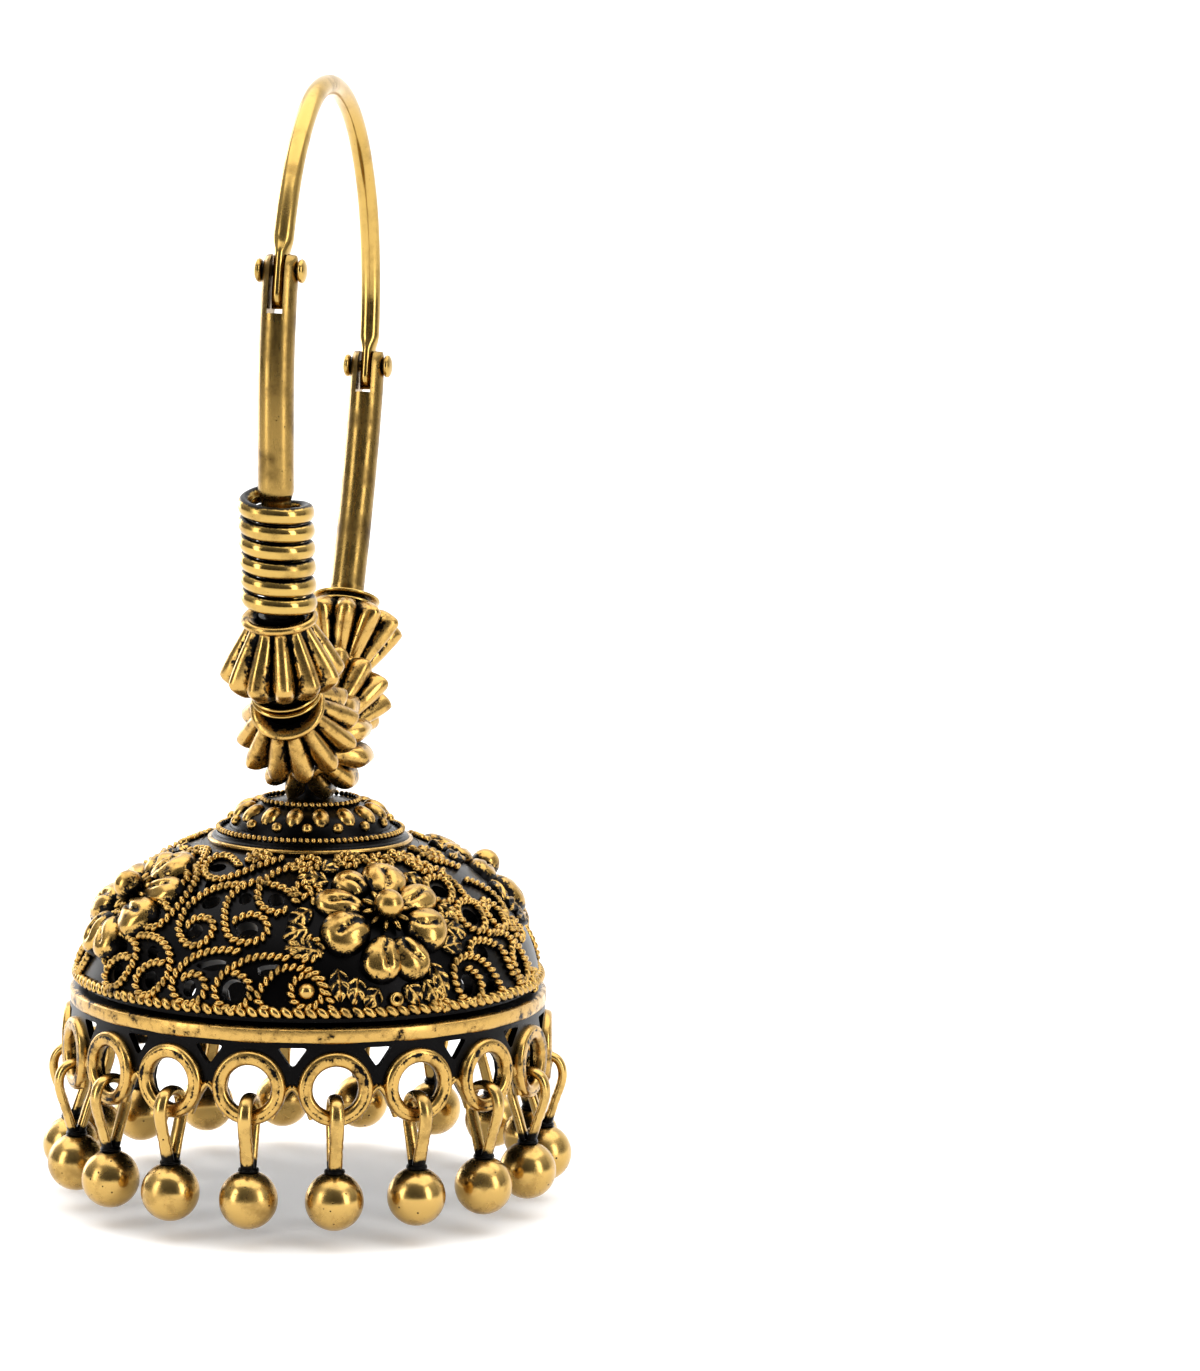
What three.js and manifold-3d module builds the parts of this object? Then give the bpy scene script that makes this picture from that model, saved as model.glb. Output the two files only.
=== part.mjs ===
// A jhumka drop earring: a hinged hoop threaded with a wire coil and fluted beads, and under it
// a pierced bell with a frieze of rings, each ring carrying a small ball drop.
// Millimetres, +Z up. The hoop stands in the YZ plane with the coil at -Y and the hinge at +Y.
// Heights below are measured from the lowest point of the hoop's centre line.

import * as THREE from "three";
import { mergeVertices } from "three/addons/utils/BufferGeometryUtils.js";
import Module from "manifold-3d";

const wasm = await Module();
wasm.setup();

// Hoop centre line: hand-picked points [y, height], from the bottom round the back, top and front
const bottomRadius = 8.3;
const hoopBack = [[9.9, 9.4], [12.3, 15], [14.2, 20.9], [15.1, 27], [13.9, 33], [10.2, 37.9]];
const hoopTop = [[5, 40.3], [-0.6, 39.9], [-5.3, 36.5]];
const hoopFront = [[-8.4, 31.4], [-9.8, 25.3], [-9.9, 19], [-9.3, 12.6]];

// Places along the hoop, as arc lengths from its lowest point, front negative
const place = {
  frontPin: -34.3, frontSlot: -31.6, coilTop: -20.9, coilBottom: -13.3,
  bead1: -10.7, bead2: -4.85, bailBead: 0, bead4: 4.8, bead5: 9.6,
  backTube: 13.3, rearSlot: 26.4, rearPin: 28.3,
};

const tube = { radius: 1.1, coreRadius: 0.65, coilSeatRadius: 0.92, sides: 10, coreSides: 6, step: 2.3 };
const wire = { radius: 0.625, sides: 8, step: 2.2, bladeThickness: 0.55, bladeWidth: 2.0 };
const fork = { earThickness: 0.62, slotWidth: 0.96, width: 2.1, beyondPin: 1.05 };
const pin = { radius: 0.35, hole: 0.62, headRadius: 0.74, headHeight: 0.4, headGap: 0.12, sides: 8 };
const coil = { outerRadius: 2.34, wireRadius: 0.38, turns: 6, stepsPerTurn: 10, sides: 5 };
const washer = { outerRadius: 2.2, innerRadius: 1.35, thickness: 0.28, sides: 12 };
// Washers lie on a bead's end, this far from the bead's middle
const washersOn = { bead2: [-2.5, -2.84], bead5: [2.42, 2.95] };

// Fluted bead, narrow end to wide end: ridge radius, valley radius, place along the bead
const bead = { petals: 12, bore: 1.4, bailBore: 1.5 };
const beadSections = [
  { ridge: 1.95, valley: 1.95, along: -2.3 },
  { ridge: 2.1, valley: 1.85, along: -1.85 },
  { ridge: 3.75, valley: 2.85, along: 0.95 },
  { ridge: 3.9, valley: 3.0, along: 1.45 },
  { ridge: 3.1, valley: 2.6, along: 2 },
];
const beadDish = 1.45;

// Bell: an ellipsoid dome under a stepped rosette, with a plain band and a web for the rings
const dome = { radius: 14.6, rise: 10.2, centre: -15.9, wall: 0.8, top: 62, bottom: 6, steps: 4 };
const bellSides = 36;
const neckRadius = 1.7;
const rosetteValley = 4.3;
const band = { radius: 15.05, top: -16, bottom: -16.9, inner: 14.2 };
const web = { outer: 15, inner: 14.55, bottom: -20 };

// Frieze: rings standing on the rim's circle, and the gaps between them
const frieze = {
  count: 18, circle: 15, height: -19.66, outerRadius: 2.3, holeRadius: 1.38, thickness: 0.9, sides: 10,
  gapWidth: 1.5, gapTop: -17.2, gapBottom: -18.3,
};

// Ball drop: a teardrop wire loop through each ring, a collar and a ball
const drop = {
  loopHalfWidth: 1.14, loopTop: -20.28, loopBottom: -24.7, wireAcross: 0.42, wireDeep: 0.3,
  collarRadius: 0.78, collarTop: -24.45, ballRadius: 1.8, ballHeight: -26.57,
  ballSides: 10, ballRings: 4, ballTurn: 0.33, loopSteps: 8, loopSides: 5,
};

// Piercings of one quarter of the dome: angle from the quarter's start, climb up the dome, both in
// degrees of the dome's ellipse, and the size of the gap across and up, in millimetres
const quarters = { count: 4, firstFlower: 35 };
const piercings = [
  { angle: 13, climb: 13, across: 1.7, up: 1.6 },
  { angle: 26, climb: 13, across: 1.7, up: 1.6 },
  { angle: 38, climb: 12, across: 1.8, up: 1.7 },
  { angle: 50.5, climb: 12, across: 1.9, up: 1.8 },
  { angle: 19, climb: 32, across: 1.9, up: 1.8 },
  { angle: 36, climb: 29.5, across: 1.8, up: 1.8 },
  { angle: 51, climb: 31.5, across: 1.8, up: 1.8 },
  { angle: 60, climb: 43.5, across: 1.5, up: 1.5 },
  { angle: 15, climb: 46, across: 1.5, up: 1.4 },
  { angle: 37, climb: 46, across: 1.7, up: 1.5 },
  { angle: 60.5, climb: 21, across: 1.2, up: 1.3 },
];
const piercingSides = 5;

// Flower on each quarter: a centre boss and pairs of petals round it
const flower = {
  climb: 37.7, bossRadius: 1, petals: 8, petalCircle: 2.75,
  petalLength: 1.6, petalWidth: 1, petalHeight: 1, lift: 0.5,
};

const degrees = THREE.MathUtils.degToRad;

// Joining leaves slivers along the seams; edges that stray less than this are merged away
const smallestDetail = 0.02;

// Materials
const gold = new THREE.MeshStandardMaterial({ color: 0xbe9646, roughness: 0.28, metalness: 1 });
const wireGold = new THREE.MeshStandardMaterial({ color: 0xcaa252, roughness: 0.2, metalness: 1 });
const antiqued = new THREE.MeshStandardMaterial({ color: 0x7a6130, roughness: 0.42, metalness: 1 });

// Solids
function solidOf(geometry, matrix) {
  const bare = new THREE.BufferGeometry();
  bare.setAttribute("position", geometry.getAttribute("position").clone());
  bare.setIndex(geometry.index);
  if (matrix) bare.applyMatrix4(matrix);
  const merged = mergeVertices(bare, 1e-4);
  const corners = merged.index.array;
  const triangles = [];
  for (let i = 0; i < corners.length; i += 3) {
    const [a, b, c] = [corners[i], corners[i + 1], corners[i + 2]];
    if (a !== b && b !== c && a !== c) triangles.push(a, b, c);
  }
  return new wasm.Manifold(
    new wasm.Mesh({
      numProp: 3,
      vertProperties: merged.attributes.position.array,
      triVerts: new Uint32Array(triangles),
    }),
  );
}

function geometryOf(solid) {
  const made = solid.simplify(smallestDetail).getMesh();
  const geometry = new THREE.BufferGeometry();
  geometry.setAttribute("position", new THREE.BufferAttribute(made.vertProperties, 3));
  geometry.setIndex(new THREE.BufferAttribute(made.triVerts, 1));
  const flat = geometry.toNonIndexed();
  flat.computeVertexNormals();
  return flat;
}

const joinAll = (solids) => solids.reduce((whole, piece) => whole.add(piece));
const cutAll = (solid, cutters) => cutters.reduce((whole, cutter) => whole.subtract(cutter), solid);

function roundShape(across, deep, sides) {
  const shape = new THREE.Shape();
  for (let i = 0; i < sides; i++) {
    const turn = (2 * Math.PI * (i + 0.5)) / sides;
    const x = across * Math.cos(turn);
    const y = deep * Math.sin(turn);
    if (i === 0) shape.moveTo(x, y);
    else shape.lineTo(x, y);
  }
  return shape.closePath();
}

// Flat slab of a shape, centred on its own plane
function slab(shape, thickness) {
  const extruded = new THREE.ExtrudeGeometry(shape, { depth: thickness, bevelEnabled: false });
  return extruded.translate(0, 0, -thickness / 2);
}

// Solid turned from closed sections [radius, height, valley]: where a valley is given, every second
// edge is drawn in to it, which flutes the surface
function turned(sections, sides, start = 0) {
  const points = [...sections, sections[0]].map(([radius, height]) => new THREE.Vector2(radius, height));
  const geometry = new THREE.LatheGeometry(points, sides, start);
  const position = geometry.getAttribute("position");
  for (let side = 1; side < sides; side += 2) {
    sections.forEach(([radius, , valley = radius], row) => {
      const i = side * points.length + row;
      const draw = radius > 0 ? valley / radius : 1;
      position.setXYZ(i, position.getX(i) * draw, position.getY(i), position.getZ(i) * draw);
    });
  }
  return geometry;
}

// Hoop's centre line and places on it
function bottomArc() {
  return [-60, -30, 0, 30, 60].map((turn) => [
    bottomRadius * Math.sin(degrees(turn)),
    bottomRadius * (1 - Math.cos(degrees(turn))),
  ]);
}

const hoopLine = new THREE.CatmullRomCurve3(
  [...bottomArc(), ...hoopBack, ...hoopTop, ...hoopFront].map(([y, z]) => new THREE.Vector3(0, y, z)),
  true,
);
hoopLine.arcLengthDivisions = 1800;
const hoopLength = hoopLine.getLength();

function lengthToBottom() {
  const lengths = hoopLine.getLengths();
  return lengths[Math.round((2 / hoopLine.points.length) * (lengths.length - 1))];
}
const bottomAt = lengthToBottom();

class HoopStretch extends THREE.Curve {
  constructor(from, to) {
    super();
    this.from = from;
    this.to = to;
  }
  getPoint(t, target = new THREE.Vector3()) {
    const along = bottomAt + this.from + t * (this.to - this.from);
    return hoopLine.getPointAt(THREE.MathUtils.euclideanModulo(along / hoopLength, 1), target);
  }
}

// Matrix that stands a piece on the hoop: its y axis along the hoop, its z axis across the plane
function onHoop(arc) {
  const stretch = new HoopStretch(arc - 0.05, arc + 0.05);
  const along = stretch.getPoint(1).sub(stretch.getPoint(0)).normalize();
  const side = new THREE.Vector3(1, 0, 0);
  const matrix = new THREE.Matrix4().makeBasis(new THREE.Vector3().crossVectors(along, side), along, side);
  return matrix.setPosition(stretch.getPoint(0.5));
}

function tubeAlong(from, to, radius, sides, step) {
  const steps = Math.max(1, Math.round(Math.abs(to - from) / step));
  const extrudePath = new HoopStretch(from, to);
  return solidOf(new THREE.ExtrudeGeometry(roundShape(radius, radius, sides), { steps, extrudePath }));
}

// A flat plate in the hoop's plane, centred on it or moved across it
function plate(shape, thickness, arc, across = 0) {
  return solidOf(slab(shape, thickness).translate(0, 0, across), onHoop(arc));
}

// Round-ended outline about a pin: straight towards one end, half round past the pin
function earShape(halfWidth, beyond, tail) {
  const shape = new THREE.Shape();
  const facing = Math.sign(tail);
  shape.moveTo(-halfWidth * facing, tail);
  shape.lineTo(halfWidth * facing, tail);
  shape.lineTo(halfWidth * facing, -facing * (beyond - halfWidth));
  const straight = -facing * (beyond - halfWidth);
  for (let i = 1; i <= 6; i++) {
    const turn = (Math.PI * i) / 6;
    shape.lineTo(halfWidth * facing * Math.cos(turn), straight - facing * halfWidth * Math.sin(turn));
  }
  return shape.closePath();
}

function acrossRod(radius, length, arc, sides = pin.sides) {
  const rod = new THREE.CylinderGeometry(radius, radius, length, sides);
  rod.rotateX(Math.PI / 2);
  return solidOf(rod, onHoop(arc));
}

// Two ears about a slot, drilled for the pin; tail is the way from the pin to the tube
function forkAt(arc, tail) {
  const shape = earShape(fork.width / 2, fork.beyondPin, tail);
  const across = fork.slotWidth / 2 + fork.earThickness / 2;
  const ears = [across, -across].map((x) => plate(shape, fork.earThickness, arc, x));
  return joinAll(ears).subtract(acrossRod(pin.hole, 6, arc));
}

function hoopTube() {
  const solids = [
    tubeAlong(place.frontSlot, place.coilTop, tube.radius, tube.sides, tube.step),
    tubeAlong(place.coilTop - 0.3, place.coilBottom + 0.3, tube.coilSeatRadius, tube.sides, tube.step),
    tubeAlong(place.coilBottom, place.backTube + 0.3, tube.coreRadius, tube.coreSides, tube.step),
    tubeAlong(place.backTube, place.rearSlot, tube.radius, tube.sides, tube.step),
    forkAt(place.frontPin, place.frontSlot + 0.5 - place.frontPin),
    forkAt(place.rearPin, place.rearSlot - 0.5 - place.rearPin),
  ];
  return joinAll(solids);
}

function rivet(arc) {
  const reach = fork.slotWidth / 2 + fork.earThickness + pin.headGap;
  const profile = [
    [0, -reach - pin.headHeight], [pin.headRadius * 0.6, -reach - pin.headHeight],
    [pin.headRadius, -reach - pin.headHeight * 0.45], [pin.headRadius, -reach], [pin.radius, -reach],
    [pin.radius, reach], [pin.headRadius, reach], [pin.headRadius, reach + pin.headHeight * 0.45],
    [pin.headRadius * 0.6, reach + pin.headHeight], [0, reach + pin.headHeight],
  ];
  return solidOf(turned(profile, pin.sides).rotateX(Math.PI / 2), onHoop(arc));
}

// Ear wire: round wire, flattened at the hinge end to an eye and at the catch end to a notched blade
function earWire() {
  const halfBlade = wire.bladeWidth / 2;
  const eye = plate(earShape(halfBlade, 1, 2.3), wire.bladeThickness, place.rearPin);
  const catchEnd = hoopLength + place.frontPin;
  const blade = plate(earShape(halfBlade, 1, -2.4), wire.bladeThickness, place.frontPin);
  const notch = new THREE.BoxGeometry(pin.hole * 2, 3, 3).translate(0, 1.5, 0);
  const round = tubeAlong(place.rearPin + 1.6, catchEnd - 1.7, wire.radius, wire.sides, wire.step);
  return joinAll([round, eye, blade])
    .subtract(acrossRod(pin.hole, 4, place.rearPin))
    .subtract(acrossRod(pin.hole, 4, place.frontPin))
    .subtract(solidOf(notch, onHoop(place.frontPin)));
}

class CoilPath extends THREE.Curve {
  getPoint(t, target = new THREE.Vector3()) {
    const turn = 2 * Math.PI * coil.turns * t;
    const radius = coil.outerRadius - coil.wireRadius;
    const span = place.coilBottom - place.coilTop - 2 * coil.wireRadius;
    return target.set(radius * Math.cos(turn), (t - 0.5) * span, radius * Math.sin(turn));
  }
}

function wireCoil() {
  const steps = coil.turns * coil.stepsPerTurn;
  const section = roundShape(coil.wireRadius, coil.wireRadius, coil.sides);
  return new THREE.ExtrudeGeometry(section, { steps, extrudePath: new CoilPath() });
}

function washerRing() {
  const half = washer.thickness / 2;
  const inner = washer.innerRadius;
  const outer = washer.outerRadius;
  return turned([[inner, -half], [outer, -half], [outer, half], [inner, half]], washer.sides);
}

function flutedBead(bore) {
  const outside = beadSections.map(({ ridge, valley, along }) => [ridge, along, valley]);
  return turned([...outside, [bore, beadDish], [bore, beadSections[0].along]], 2 * bead.petals);
}

// Bell
function domePoint(climb, inset = 0) {
  const radius = (dome.radius - inset) * Math.cos(degrees(climb));
  return [radius, dome.centre + (dome.rise - inset) * Math.sin(degrees(climb))];
}

function bellShell() {
  const climbs = Array.from({ length: dome.steps + 1 }, (_, i) =>
    THREE.MathUtils.lerp(dome.bottom, dome.top, i / dome.steps),
  );
  const underside = [
    [0, -5.8], [3, -6.2], ...[60, 40, 20].map((climb) => domePoint(climb, dome.wall)),
    [band.inner, band.top], [web.inner, band.bottom], [web.inner, web.bottom],
  ];
  const rim = [
    [web.outer, web.bottom], [web.outer, band.bottom], [band.radius, band.bottom], [band.radius, band.top],
    [14.4, band.top + 0.1], [14.4, -15.45], [14.88, -15.3], [14.8, -14.85],
  ];
  const tiers = [
    [6.75, -6.9], [6.2, -6.5], [6.15, -6], [5.5, -5.75], [4.95, -5.1, rosetteValley], [3.9, -4.7, 3.6],
    [3.2, -4.6], [3.1, -4.2], [neckRadius, -4.1], [neckRadius, -2.6], [0, -2.6],
  ];
  const halfSide = Math.PI / bellSides;
  const outside = climbs.map((climb) => domePoint(climb));
  return turned([...underside, ...rim, ...outside, ...tiers], bellSides, halfSide);
}

// Matrix that stands a piece on the dome, its z axis outwards and its y axis up the dome
function onDome(angle, climb, lift = 0) {
  const [radius, height] = domePoint(climb);
  const tilt = Math.atan2(Math.sin(degrees(climb)) / dome.rise, Math.cos(degrees(climb)) / dome.radius);
  const turned = new THREE.Euler(Math.PI / 2 - tilt, 0, degrees(angle), "ZXY");
  const matrix = new THREE.Matrix4().makeRotationFromEuler(turned);
  const outwards = new THREE.Vector3().setFromMatrixColumn(matrix, 2).multiplyScalar(lift);
  const [x, y] = [radius * Math.sin(degrees(angle)), -radius * Math.cos(degrees(angle))];
  return matrix.setPosition(x + outwards.x, y + outwards.y, height + outwards.z);
}

function piercingCutter({ angle, climb, across, up }, start) {
  const shape = roundShape(across / 2, up / 2, piercingSides);
  return solidOf(slab(shape, 4), onDome(start + angle, climb));
}

function flowerRelief(angle) {
  const middle = onDome(angle, flower.climb);
  const boss = new THREE.OctahedronGeometry(flower.bossRadius);
  boss.translate(0, 0, flower.lift);
  const solids = [solidOf(boss, middle)];
  for (let i = 0; i < flower.petals; i++) {
    const petal = new THREE.OctahedronGeometry(1);
    petal.scale(flower.petalWidth, flower.petalLength, flower.petalHeight);
    petal.translate(0, flower.petalCircle, flower.lift);
    petal.rotateZ((2 * Math.PI * (i + 0.5)) / flower.petals);
    solids.push(solidOf(petal, middle));
  }
  return joinAll(solids);
}

// Matrix that stands a piece on the frieze's circle, its z axis outwards and its y axis up
function onFrieze(angle, height) {
  const upright = new THREE.Euler(Math.PI / 2, 0, degrees(angle), "ZXY");
  return new THREE.Matrix4().makeRotationFromEuler(upright).setPosition(
    frieze.circle * Math.sin(degrees(angle)), -frieze.circle * Math.cos(degrees(angle)), height,
  );
}

function friezeDisc(radius, thickness, angle) {
  const shape = roundShape(radius, radius, frieze.sides);
  return solidOf(slab(shape, thickness), onFrieze(angle, frieze.height));
}

function friezeSolids() {
  const pitch = 360 / frieze.count;
  const rings = [];
  const openings = [];
  const gapShape = new THREE.Shape();
  gapShape.moveTo(-frieze.gapWidth / 2, frieze.gapTop);
  gapShape.lineTo(0, frieze.gapBottom);
  gapShape.lineTo(frieze.gapWidth / 2, frieze.gapTop);
  gapShape.closePath();
  for (let i = 0; i < frieze.count; i++) {
    rings.push(friezeDisc(frieze.outerRadius, frieze.thickness, i * pitch));
    openings.push(friezeDisc(frieze.holeRadius, 3, i * pitch));
    openings.push(solidOf(slab(gapShape, 3), onFrieze((i + 0.5) * pitch, 0)));
  }
  return { rings: joinAll(rings), openings };
}

function bell() {
  const upright = new THREE.Matrix4().makeRotationX(Math.PI / 2);
  const shell = solidOf(bellShell(), upright);
  const { rings, openings } = friezeSolids();
  const cutters = [];
  const flowers = [];
  for (let i = 0; i < quarters.count; i++) {
    const flowerAngle = quarters.firstFlower + (360 / quarters.count) * i;
    cutters.push(...piercings.map((piercing) => piercingCutter(piercing, flowerAngle - 90)));
    flowers.push(flowerRelief(flowerAngle));
  }
  const pierced = cutAll(cutAll(shell.add(rings), openings), cutters);
  const bail = solidOf(flutedBead(bead.bailBore), onHoop(place.bailBead));
  const bore = acrossBore(bead.bailBore);
  return joinAll([pierced, ...flowers, bail]).subtract(bore);
}

// Rod along the hoop through the bail bead, which keeps its bore open where the neck joins it
function acrossBore(radius) {
  return solidOf(new THREE.CylinderGeometry(radius - 0.02, radius - 0.02, 8, 10), onHoop(place.bailBead));
}

// Outline of a ball and the collar on it, turned as one solid
function ballProfile() {
  const profile = [];
  const topAngle = Math.asin(drop.collarRadius / drop.ballRadius);
  for (let i = 0; i <= drop.ballRings; i++) {
    const angle = Math.PI - (i / drop.ballRings) * (Math.PI - topAngle);
    profile.push([
      i === 0 ? 0 : drop.ballRadius * Math.sin(angle),
      drop.ballHeight + drop.ballRadius * Math.cos(angle),
    ]);
  }
  return [...profile, [drop.collarRadius, drop.collarTop], [0, drop.collarTop]];
}

// Ball drop, drawn in the plane of the bell's axis with x outwards and y up
function ballDrop() {
  const { loopHalfWidth: half, loopTop: top, loopBottom: bottom } = drop;
  const path = [
    [0.22, bottom], [0.62, bottom + 1.3], [half, top - 1.25], [half * 0.72, top - 0.3], [0, top],
    [-half * 0.72, top - 0.3], [-half, top - 1.25], [-0.62, bottom + 1.3], [-0.22, bottom],
  ];
  const extrudePath = new THREE.CatmullRomCurve3(path.map(([x, y]) => new THREE.Vector3(x, y, 0)));
  const section = roundShape(drop.wireDeep, drop.wireAcross, drop.loopSides);
  const loop = new THREE.ExtrudeGeometry(section, { steps: drop.loopSteps, extrudePath });
  return geometryOf(solidOf(loop).add(solidOf(turned(ballProfile(), drop.ballSides, drop.ballTurn))));
}

// The seat: the underside of the ear wire straight above the bell's axis
function seatHeight() {
  const stretch = new HoopStretch(place.rearPin, hoopLength + place.frontPin);
  let best = stretch.getPoint(0);
  for (let i = 0; i <= 4000; i++) {
    const point = stretch.getPoint(i / 4000);
    if (Math.abs(point.y) < Math.abs(best.y)) best = point;
  }
  return best.z - wire.radius;
}

// Assembly
const earring = new THREE.Group();
earring.position.z = -seatHeight();

function addPiece(name, geometry, material, matrix) {
  const mesh = new THREE.Mesh(geometry, material);
  mesh.name = name;
  if (matrix) mesh.applyMatrix4(matrix);
  earring.add(mesh);
  return mesh;
}

function addWasher(name, beadArc, along) {
  const slid = new THREE.Matrix4().makeTranslation(0, along, 0);
  addPiece(name, washerRing(), gold, onHoop(beadArc).multiply(slid));
}

addPiece("ear_wire", geometryOf(earWire()), wireGold);
addPiece("hoop_tube", geometryOf(hoopTube()), gold);
addPiece("front_catch_rivet", geometryOf(rivet(place.frontPin)), wireGold);
addPiece("rear_hinge_rivet", geometryOf(rivet(place.rearPin)), wireGold);
addPiece("wire_coil", wireCoil(), wireGold, onHoop((place.coilTop + place.coilBottom) / 2));
addPiece("fluted_bead_1", flutedBead(bead.bore), antiqued, onHoop(place.bead1));
addPiece("fluted_bead_2", flutedBead(bead.bore), antiqued, onHoop(place.bead2));
addPiece("fluted_bead_4", flutedBead(bead.bore), antiqued, onHoop(place.bead4));
addPiece("fluted_bead_5", flutedBead(bead.bore), antiqued, onHoop(place.bead5));
washersOn.bead2.forEach((along, i) => addWasher("front_washer_" + (i + 1), place.bead2, along));
washersOn.bead5.forEach((along, i) => addWasher("back_washer_" + (i + 1), place.bead5, along));
addPiece("bell", geometryOf(bell()), antiqued);

const dropGeometry = ballDrop();
for (let i = 0; i < frieze.count; i++) {
  const angle = degrees((360 / frieze.count) * i - 90);
  const holder = new THREE.Group();
  holder.rotation.z = angle;
  const mesh = new THREE.Mesh(dropGeometry, wireGold);
  mesh.name = "ball_drop_" + String(i + 1).padStart(2, "0");
  mesh.position.x = frieze.circle;
  mesh.rotation.x = Math.PI / 2;
  holder.add(mesh);
  earring.add(holder);
}

export default earring;
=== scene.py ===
import math
import random

import bmesh
import bpy
import numpy as np
from mathutils import Matrix, Vector
from mathutils.geometry import delaunay_2d_cdt


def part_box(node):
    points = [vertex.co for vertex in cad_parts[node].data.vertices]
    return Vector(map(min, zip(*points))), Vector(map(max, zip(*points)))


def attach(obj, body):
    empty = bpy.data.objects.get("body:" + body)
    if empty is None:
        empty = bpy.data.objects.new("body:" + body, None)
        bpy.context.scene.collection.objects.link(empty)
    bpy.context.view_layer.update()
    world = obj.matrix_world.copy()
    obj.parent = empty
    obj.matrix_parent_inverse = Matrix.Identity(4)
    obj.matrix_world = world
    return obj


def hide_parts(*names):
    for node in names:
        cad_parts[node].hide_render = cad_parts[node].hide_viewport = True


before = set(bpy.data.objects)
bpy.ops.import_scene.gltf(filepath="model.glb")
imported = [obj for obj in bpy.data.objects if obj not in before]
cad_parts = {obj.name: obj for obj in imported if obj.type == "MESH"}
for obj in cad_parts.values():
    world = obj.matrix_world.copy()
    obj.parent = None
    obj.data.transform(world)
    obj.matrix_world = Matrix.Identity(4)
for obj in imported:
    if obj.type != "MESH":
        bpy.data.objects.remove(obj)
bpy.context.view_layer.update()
random.seed(7)

# Everything below is drawn in millimetres, with heights from the lowest point of the hoop's centre
# line, and moved into the frame when its mesh is made
millimetre = 0.001
lowestBall = -28.37
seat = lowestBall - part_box("ball_drop_01")[0].z / millimetre
print("frame loaded, seat at", round(seat, 3))

# Camera: aim and stand in degrees and millimetres, fitted to the rings of the frieze
cameraFit = {
    "turn": 10.3, "down": 7.12, "distance": 313.9, "aside": 18.08, "height": -36.12, "lens": 131.3,
    "roll": 1.0}


def addCamera(fit):
    turn, down = math.radians(fit["turn"]), math.radians(fit["down"])
    aim = Vector((fit["aside"] * math.cos(turn), fit["aside"] * math.sin(turn), fit["height"]))
    away = Vector((math.sin(turn) * math.cos(down), -math.cos(turn) * math.cos(down), math.sin(down)))
    data = bpy.data.cameras.new("camera")
    data.lens = fit["lens"]
    data.clip_start, data.clip_end = 0.01, 10
    camera = bpy.data.objects.new("camera", data)
    camera.location = (aim + away * fit["distance"]) * millimetre
    level = (-away).to_track_quat("-Z", "Y").to_matrix()
    camera.rotation_euler = (level @ Matrix.Rotation(math.radians(fit["roll"]), 3, "Z")).to_euler()
    bpy.context.scene.collection.objects.link(camera)
    bpy.context.scene.camera = camera


addCamera(cameraFit)


# Materials
def linear(hexColour):
    channels = [int(hexColour[i:i + 2], 16) / 255 for i in (1, 3, 5)]
    return tuple(c / 12.92 if c <= 0.04045 else ((c + 0.055) / 1.055) ** 2.4 for c in channels) + (1,)


def addNode(tree, kind, settings=None, links=None):
    node = tree.nodes.new(kind)
    for name, value in (settings or {}).items():
        if isinstance(name, int) or name in node.inputs:
            node.inputs[name].default_value = value
        else:
            setattr(node, name, value)
    for name, output in (links or {}).items():
        tree.links.new(output, node.inputs[name])
    return node


def stepBetween(tree, value, low, high, to=(0, 1)):
    return addNode(tree, "ShaderNodeMapRange", {
        "interpolation_type": "SMOOTHSTEP", "From Min": low, "From Max": high,
        "To Min": to[0], "To Max": to[1]}, {"Value": value}).outputs["Result"]


# Gilt brass: warm yellow metal. Its wear-and-shade attribute says where the black finish was rubbed off, and
# on the wire coil, the tube, the sleeves in the beads, the washers and the rivets it also paints shade black.
giltLooks = {
    # drawn wire, tumbled bright: long clean highlights with a few brown stains
    "gilt_brass_drawn_wire": {
        "gold": "#B89752", "deep": "#694E25", "black": "#0B0908", "roughness": (0.14, 0.3),
        "stainSize": 1.9, "stain": 0.5, "grain": 0.35, "grainSize": 0.16, "pitSize": 0.42, "pits": 0.07,
        "brush": 0.0, "blotch": 0.35, "rubbedAndUnshaded": (0.25, 0.6)},
    # tube brushed along its length: softer, streaky highlights with fine dark specks
    "gilt_brass_brushed_tube": {
        "gold": "#957840", "deep": "#54401F", "black": "#0B0908", "roughness": (0.18, 0.36),
        "stainSize": 2.4, "stain": 0.9, "grain": 0.5, "grainSize": 0.12, "pitSize": 0.5, "pits": 0.1,
        "brush": 0.6, "blotch": 0.55, "rubbedAndUnshaded": (0.25, 0.6)},
    # cast, blackened in liver of sulphur and rubbed back: gold on the high spots, black in the low ones
    "gilt_brass_cast_antiqued": {
        "gold": "#B99451", "deep": "#5E4420", "black": "#070606", "roughness": (0.2, 0.4),
        "stainSize": 0.9, "stain": 0.85, "grain": 0.6, "grainSize": 0.14, "pitSize": 0.6, "pits": 0.1,
        "brush": 0.0, "blotch": 0.6, "rubbedAndUnshaded": (0.4, 0.62)},
    # turned ball, burnished: mirror-like, with small casting pits
    "gilt_brass_burnished_ball": {
        "gold": "#BF9C59", "deep": "#71542A", "black": "#080706", "roughness": (0.19, 0.36),
        "stainSize": 1.6, "stain": 0.6, "grain": 0.5, "grainSize": 0.2, "pitSize": 0.5, "pits": 0.16,
        "brush": 0.0, "blotch": 0.5, "rubbedAndUnshaded": (0.3, 0.6)},
}
drawnWire, brushedTube, castBrass, burnishedBall = giltLooks


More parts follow.
